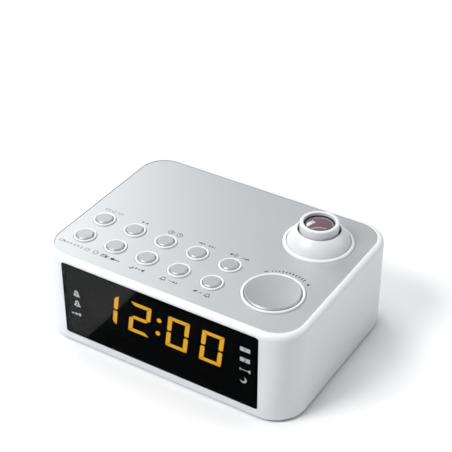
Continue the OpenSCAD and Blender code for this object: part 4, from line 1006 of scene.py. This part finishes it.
def make_lens_edge_shade_liner():
    """Black ring in the collar's bore, round the lens: keeps stray light away, and paints the shade
    at the lens's edge.
    """
    cell_top = box_mm("lens_cell")[1].z
    bottom, top = cell_top - LINER_DEPTH, cell_top + LINER_RISE
    inner, outer = FOCUS_BORE_R - LINER_T, FOCUS_BORE_R + CLEAR
    wall = [(inner, bottom), (outer, bottom), (outer, top), (inner, top)]
    bm = bmesh.new()
    turn(bm, wall, ball_middle.x, ball_middle.y)
    piece("lens_edge_shade_liner", bm, FINISHES["black_plastic"], "focus_ring")


def make_lens():
    """Projection lens: flat behind, with a flange on its cell and a full dome in front."""
    low, high = box_mm("projection_lens")
    radius = (high.x - low.x) / 2
    seat = box_mm("lens_cell")[1].z + CLEAR
    dome_r = (LENS_FLANGE_R ** 2 + LENS_RISE ** 2) / (2 * LENS_RISE)
    edge_angle = 90 - math.degrees(math.asin(LENS_FLANGE_R / dome_r))
    dome = arc((0, seat + LENS_FLANGE_T + LENS_RISE - dome_r), dome_r, edge_angle, 90, steps=28)
    flange = [(0, low.z), (radius, low.z), (radius, seat), (LENS_FLANGE_R, seat)]
    bm = bmesh.new()
    turn(bm, flange + dome, ball_middle.x, ball_middle.y, closed=False)
    piece("front_lens", bm, FINISHES["lens_glass"], "lens_cell", ["projection_lens"])


def refine(node, body="casing"):
    """Remakes a node with its own triangles joined up, so that its round walls shade as round."""
    source = frame["nodes"][node]
    bm = bmesh.new()
    bm.from_mesh(source.data)
    bmesh.ops.remove_doubles(bm, verts=bm.verts, dist=1e-3 * MM)
    slot = next(p["material_slot"] for p in frame["record"]["subparts"] if p["node"] == node)
    dress(node + "_fine", bm, FINISHES[slot], body, [node], 25)


make_cabinet()
make_top_plate()
make_seam_shade_strip()
make_window_pane()
make_pane_border()
make_display_gasket()
print_front_row()
print_back_row()
print_snooze_arc()
print_window_signs()
for key in KEYS:
    make_key(key)
make_snooze_key()
make_ball()
make_focus_ring()
make_lens_edge_shade_liner()
make_lens()
refine("lens_cell", "lens_cell")
refine("battery_hatch", "battery_hatch")
for node in (
    "base_cover", "rubber_feet", "case_screws", "power_socket", "power_socket_pin", "audio_socket",
    "aerial_gland",
):
    refine(node)


# ---- stage, in metres and watts ----

FLOOR_SIZE = (8, 8)
# Distances from the clock over which the floor begins to glow, and how strong it gets
GLOW_FROM, GLOW_TO, GLOW = 0.5, 1.5, 0.9
FLAG_SIZE = (0.34, 0.22)
FLAG_MIDDLE = (0.113, -0.175, 0.0006)
# The backdrop's colour, and its strength as the camera sees it and as it lights the clock
BACKDROP = (0.95, 0.97, 1)
BACKDROP_SEEN = 1.1
BACKDROP_LIGHT = 0.21


def add_card(name, size, middle, finish, unseen_by=()):
    """Level card of the stage, left out for some kinds of rays."""
    bm = bmesh.new()
    bmesh.ops.create_grid(bm, x_segments=1, y_segments=1, size=0.5)
    bmesh.ops.scale(bm, vec=(*size, 1), verts=bm.verts)
    bmesh.ops.translate(bm, vec=middle, verts=bm.verts)
    card = bpy.data.objects.new(name, mesh_of(name, bm))
    card.data.materials.append(finish.material)
    for ray in unseen_by:
        setattr(card, "visible_" + ray, False)
    bpy.context.scene.collection.objects.link(card)


def add_floor():
    """Pale paper that glows like the backdrop where it is far from the clock."""
    finish = Finish("floor_paper", Roughness=0.9, Specular_IOR_Level=0.1)
    tone = finish.noise(60, detail=2)
    far = finish.node(
        "ShaderNodeVectorMath", {"operation": "LENGTH"}, {0: finish.place}, output="Value",
    )
    glow = finish.node(
        "ShaderNodeMapRange", None,
        {"Value": far, "From Min": GLOW_FROM, "From Max": GLOW_TO, "To Max": GLOW},
    )
    finish.set(
        Base_Color=finish.mix(tone, (0.895, 0.9, 0.905), (0.905, 0.91, 0.915)),
        Emission_Color=finish.mix(glow, (0, 0, 0), BACKDROP), Emission_Strength=1,
    )
    add_card("floor", FLOOR_SIZE, (0, 0, 0), finish)


def add_flag():
    """Black card on the floor before the clock, seen only in gloss, such as the window's."""
    finish = Finish("flag_black", Roughness=0.9)
    tone = finish.noise(20)
    finish.set(Base_Color=finish.mix(tone, (0.002, 0.002, 0.002), (0.004, 0.004, 0.004)))
    rays = ("camera", "diffuse", "transmission", "volume_scatter", "shadow")
    add_card("flag", FLAG_SIZE, FLAG_MIDDLE, finish, unseen_by=rays)


def set_backdrop():
    """Backdrop that looks white, but lights the clock only a little."""
    world = bpy.data.worlds.new("studio")
    bpy.context.scene.world = world
    world.use_nodes = True
    nodes, links = world.node_tree.nodes, world.node_tree.links
    background, path = nodes["Background"], nodes.new("ShaderNodeLightPath")
    strength = nodes.new("ShaderNodeMapRange")
    background.inputs["Color"].default_value = (*BACKDROP, 1)
    strength.inputs["To Min"].default_value = BACKDROP_LIGHT
    strength.inputs["To Max"].default_value = BACKDROP_SEEN
    links.new(path.outputs["Is Camera Ray"], strength.inputs["Value"])
    links.new(strength.outputs[0], background.inputs["Strength"])


def add_light(name, place, target, size, power, gloss=True, depth=None):
    """Softbox, as deep as it is wide unless a depth is given. Without gloss nothing mirrors it."""
    lamp = bpy.data.lights.new(name, "AREA")
    lamp.shape = "RECTANGLE"
    lamp.size = size
    lamp.size_y = depth or size
    lamp.energy = power
    made = bpy.data.objects.new(name, lamp)
    made.visible_glossy = gloss
    made.location = place
    made.rotation_euler = (Vector(target) - Vector(place)).to_track_quat("-Z", "Y").to_euler()
    bpy.context.scene.collection.objects.link(made)


def add_lights():
    """Key light from the front left, fill from behind and above."""
    aim = (0, 0, 0.05)
    add_light("key_light", (-0.62, -0.95, 1.25), (0, 0, 0.03), 0.7, 22)
    add_light("back_left_softbox", (-1.5, 0.7, 0.9), (-0.05, 0, 0.05), 0.9, 6.2)
    add_light("back_left_strip", (-1.03, 0.86, 0.9), aim, 0.6, 3.2)
    add_light("back_right_softbox", (1.3, 0.9, 0.9), aim, 0.9, 4.8)
    add_light("overhead_softbox", (-0.1, 0.1, 1.6), aim, 1, 10.3, gloss=False)
    add_light("overhead_strip", (-0.22, 0.46, 1.4), aim, 1.3, 1.2, depth=0.16)


def set_camera():
    """View from the front right. Lens and sensor are in millimetres, tilt and turn in degrees."""
    lens, sensor = 101.734, 36
    place, tilt, turned = (0.32654, -0.51767, 0.49283), 55.35, 31.704
    data = bpy.data.cameras.new("camera")
    data.lens = lens
    data.sensor_width = sensor
    made = bpy.data.objects.new("camera", data)
    made.location = place
    made.rotation_euler = Euler((math.radians(tilt), 0, math.radians(turned)))
    bpy.context.scene.collection.objects.link(made)
    bpy.context.scene.camera = made


bpy.context.scene.view_settings.view_transform = "Standard"
add_floor()
add_flag()
set_backdrop()
add_lights()
set_camera()
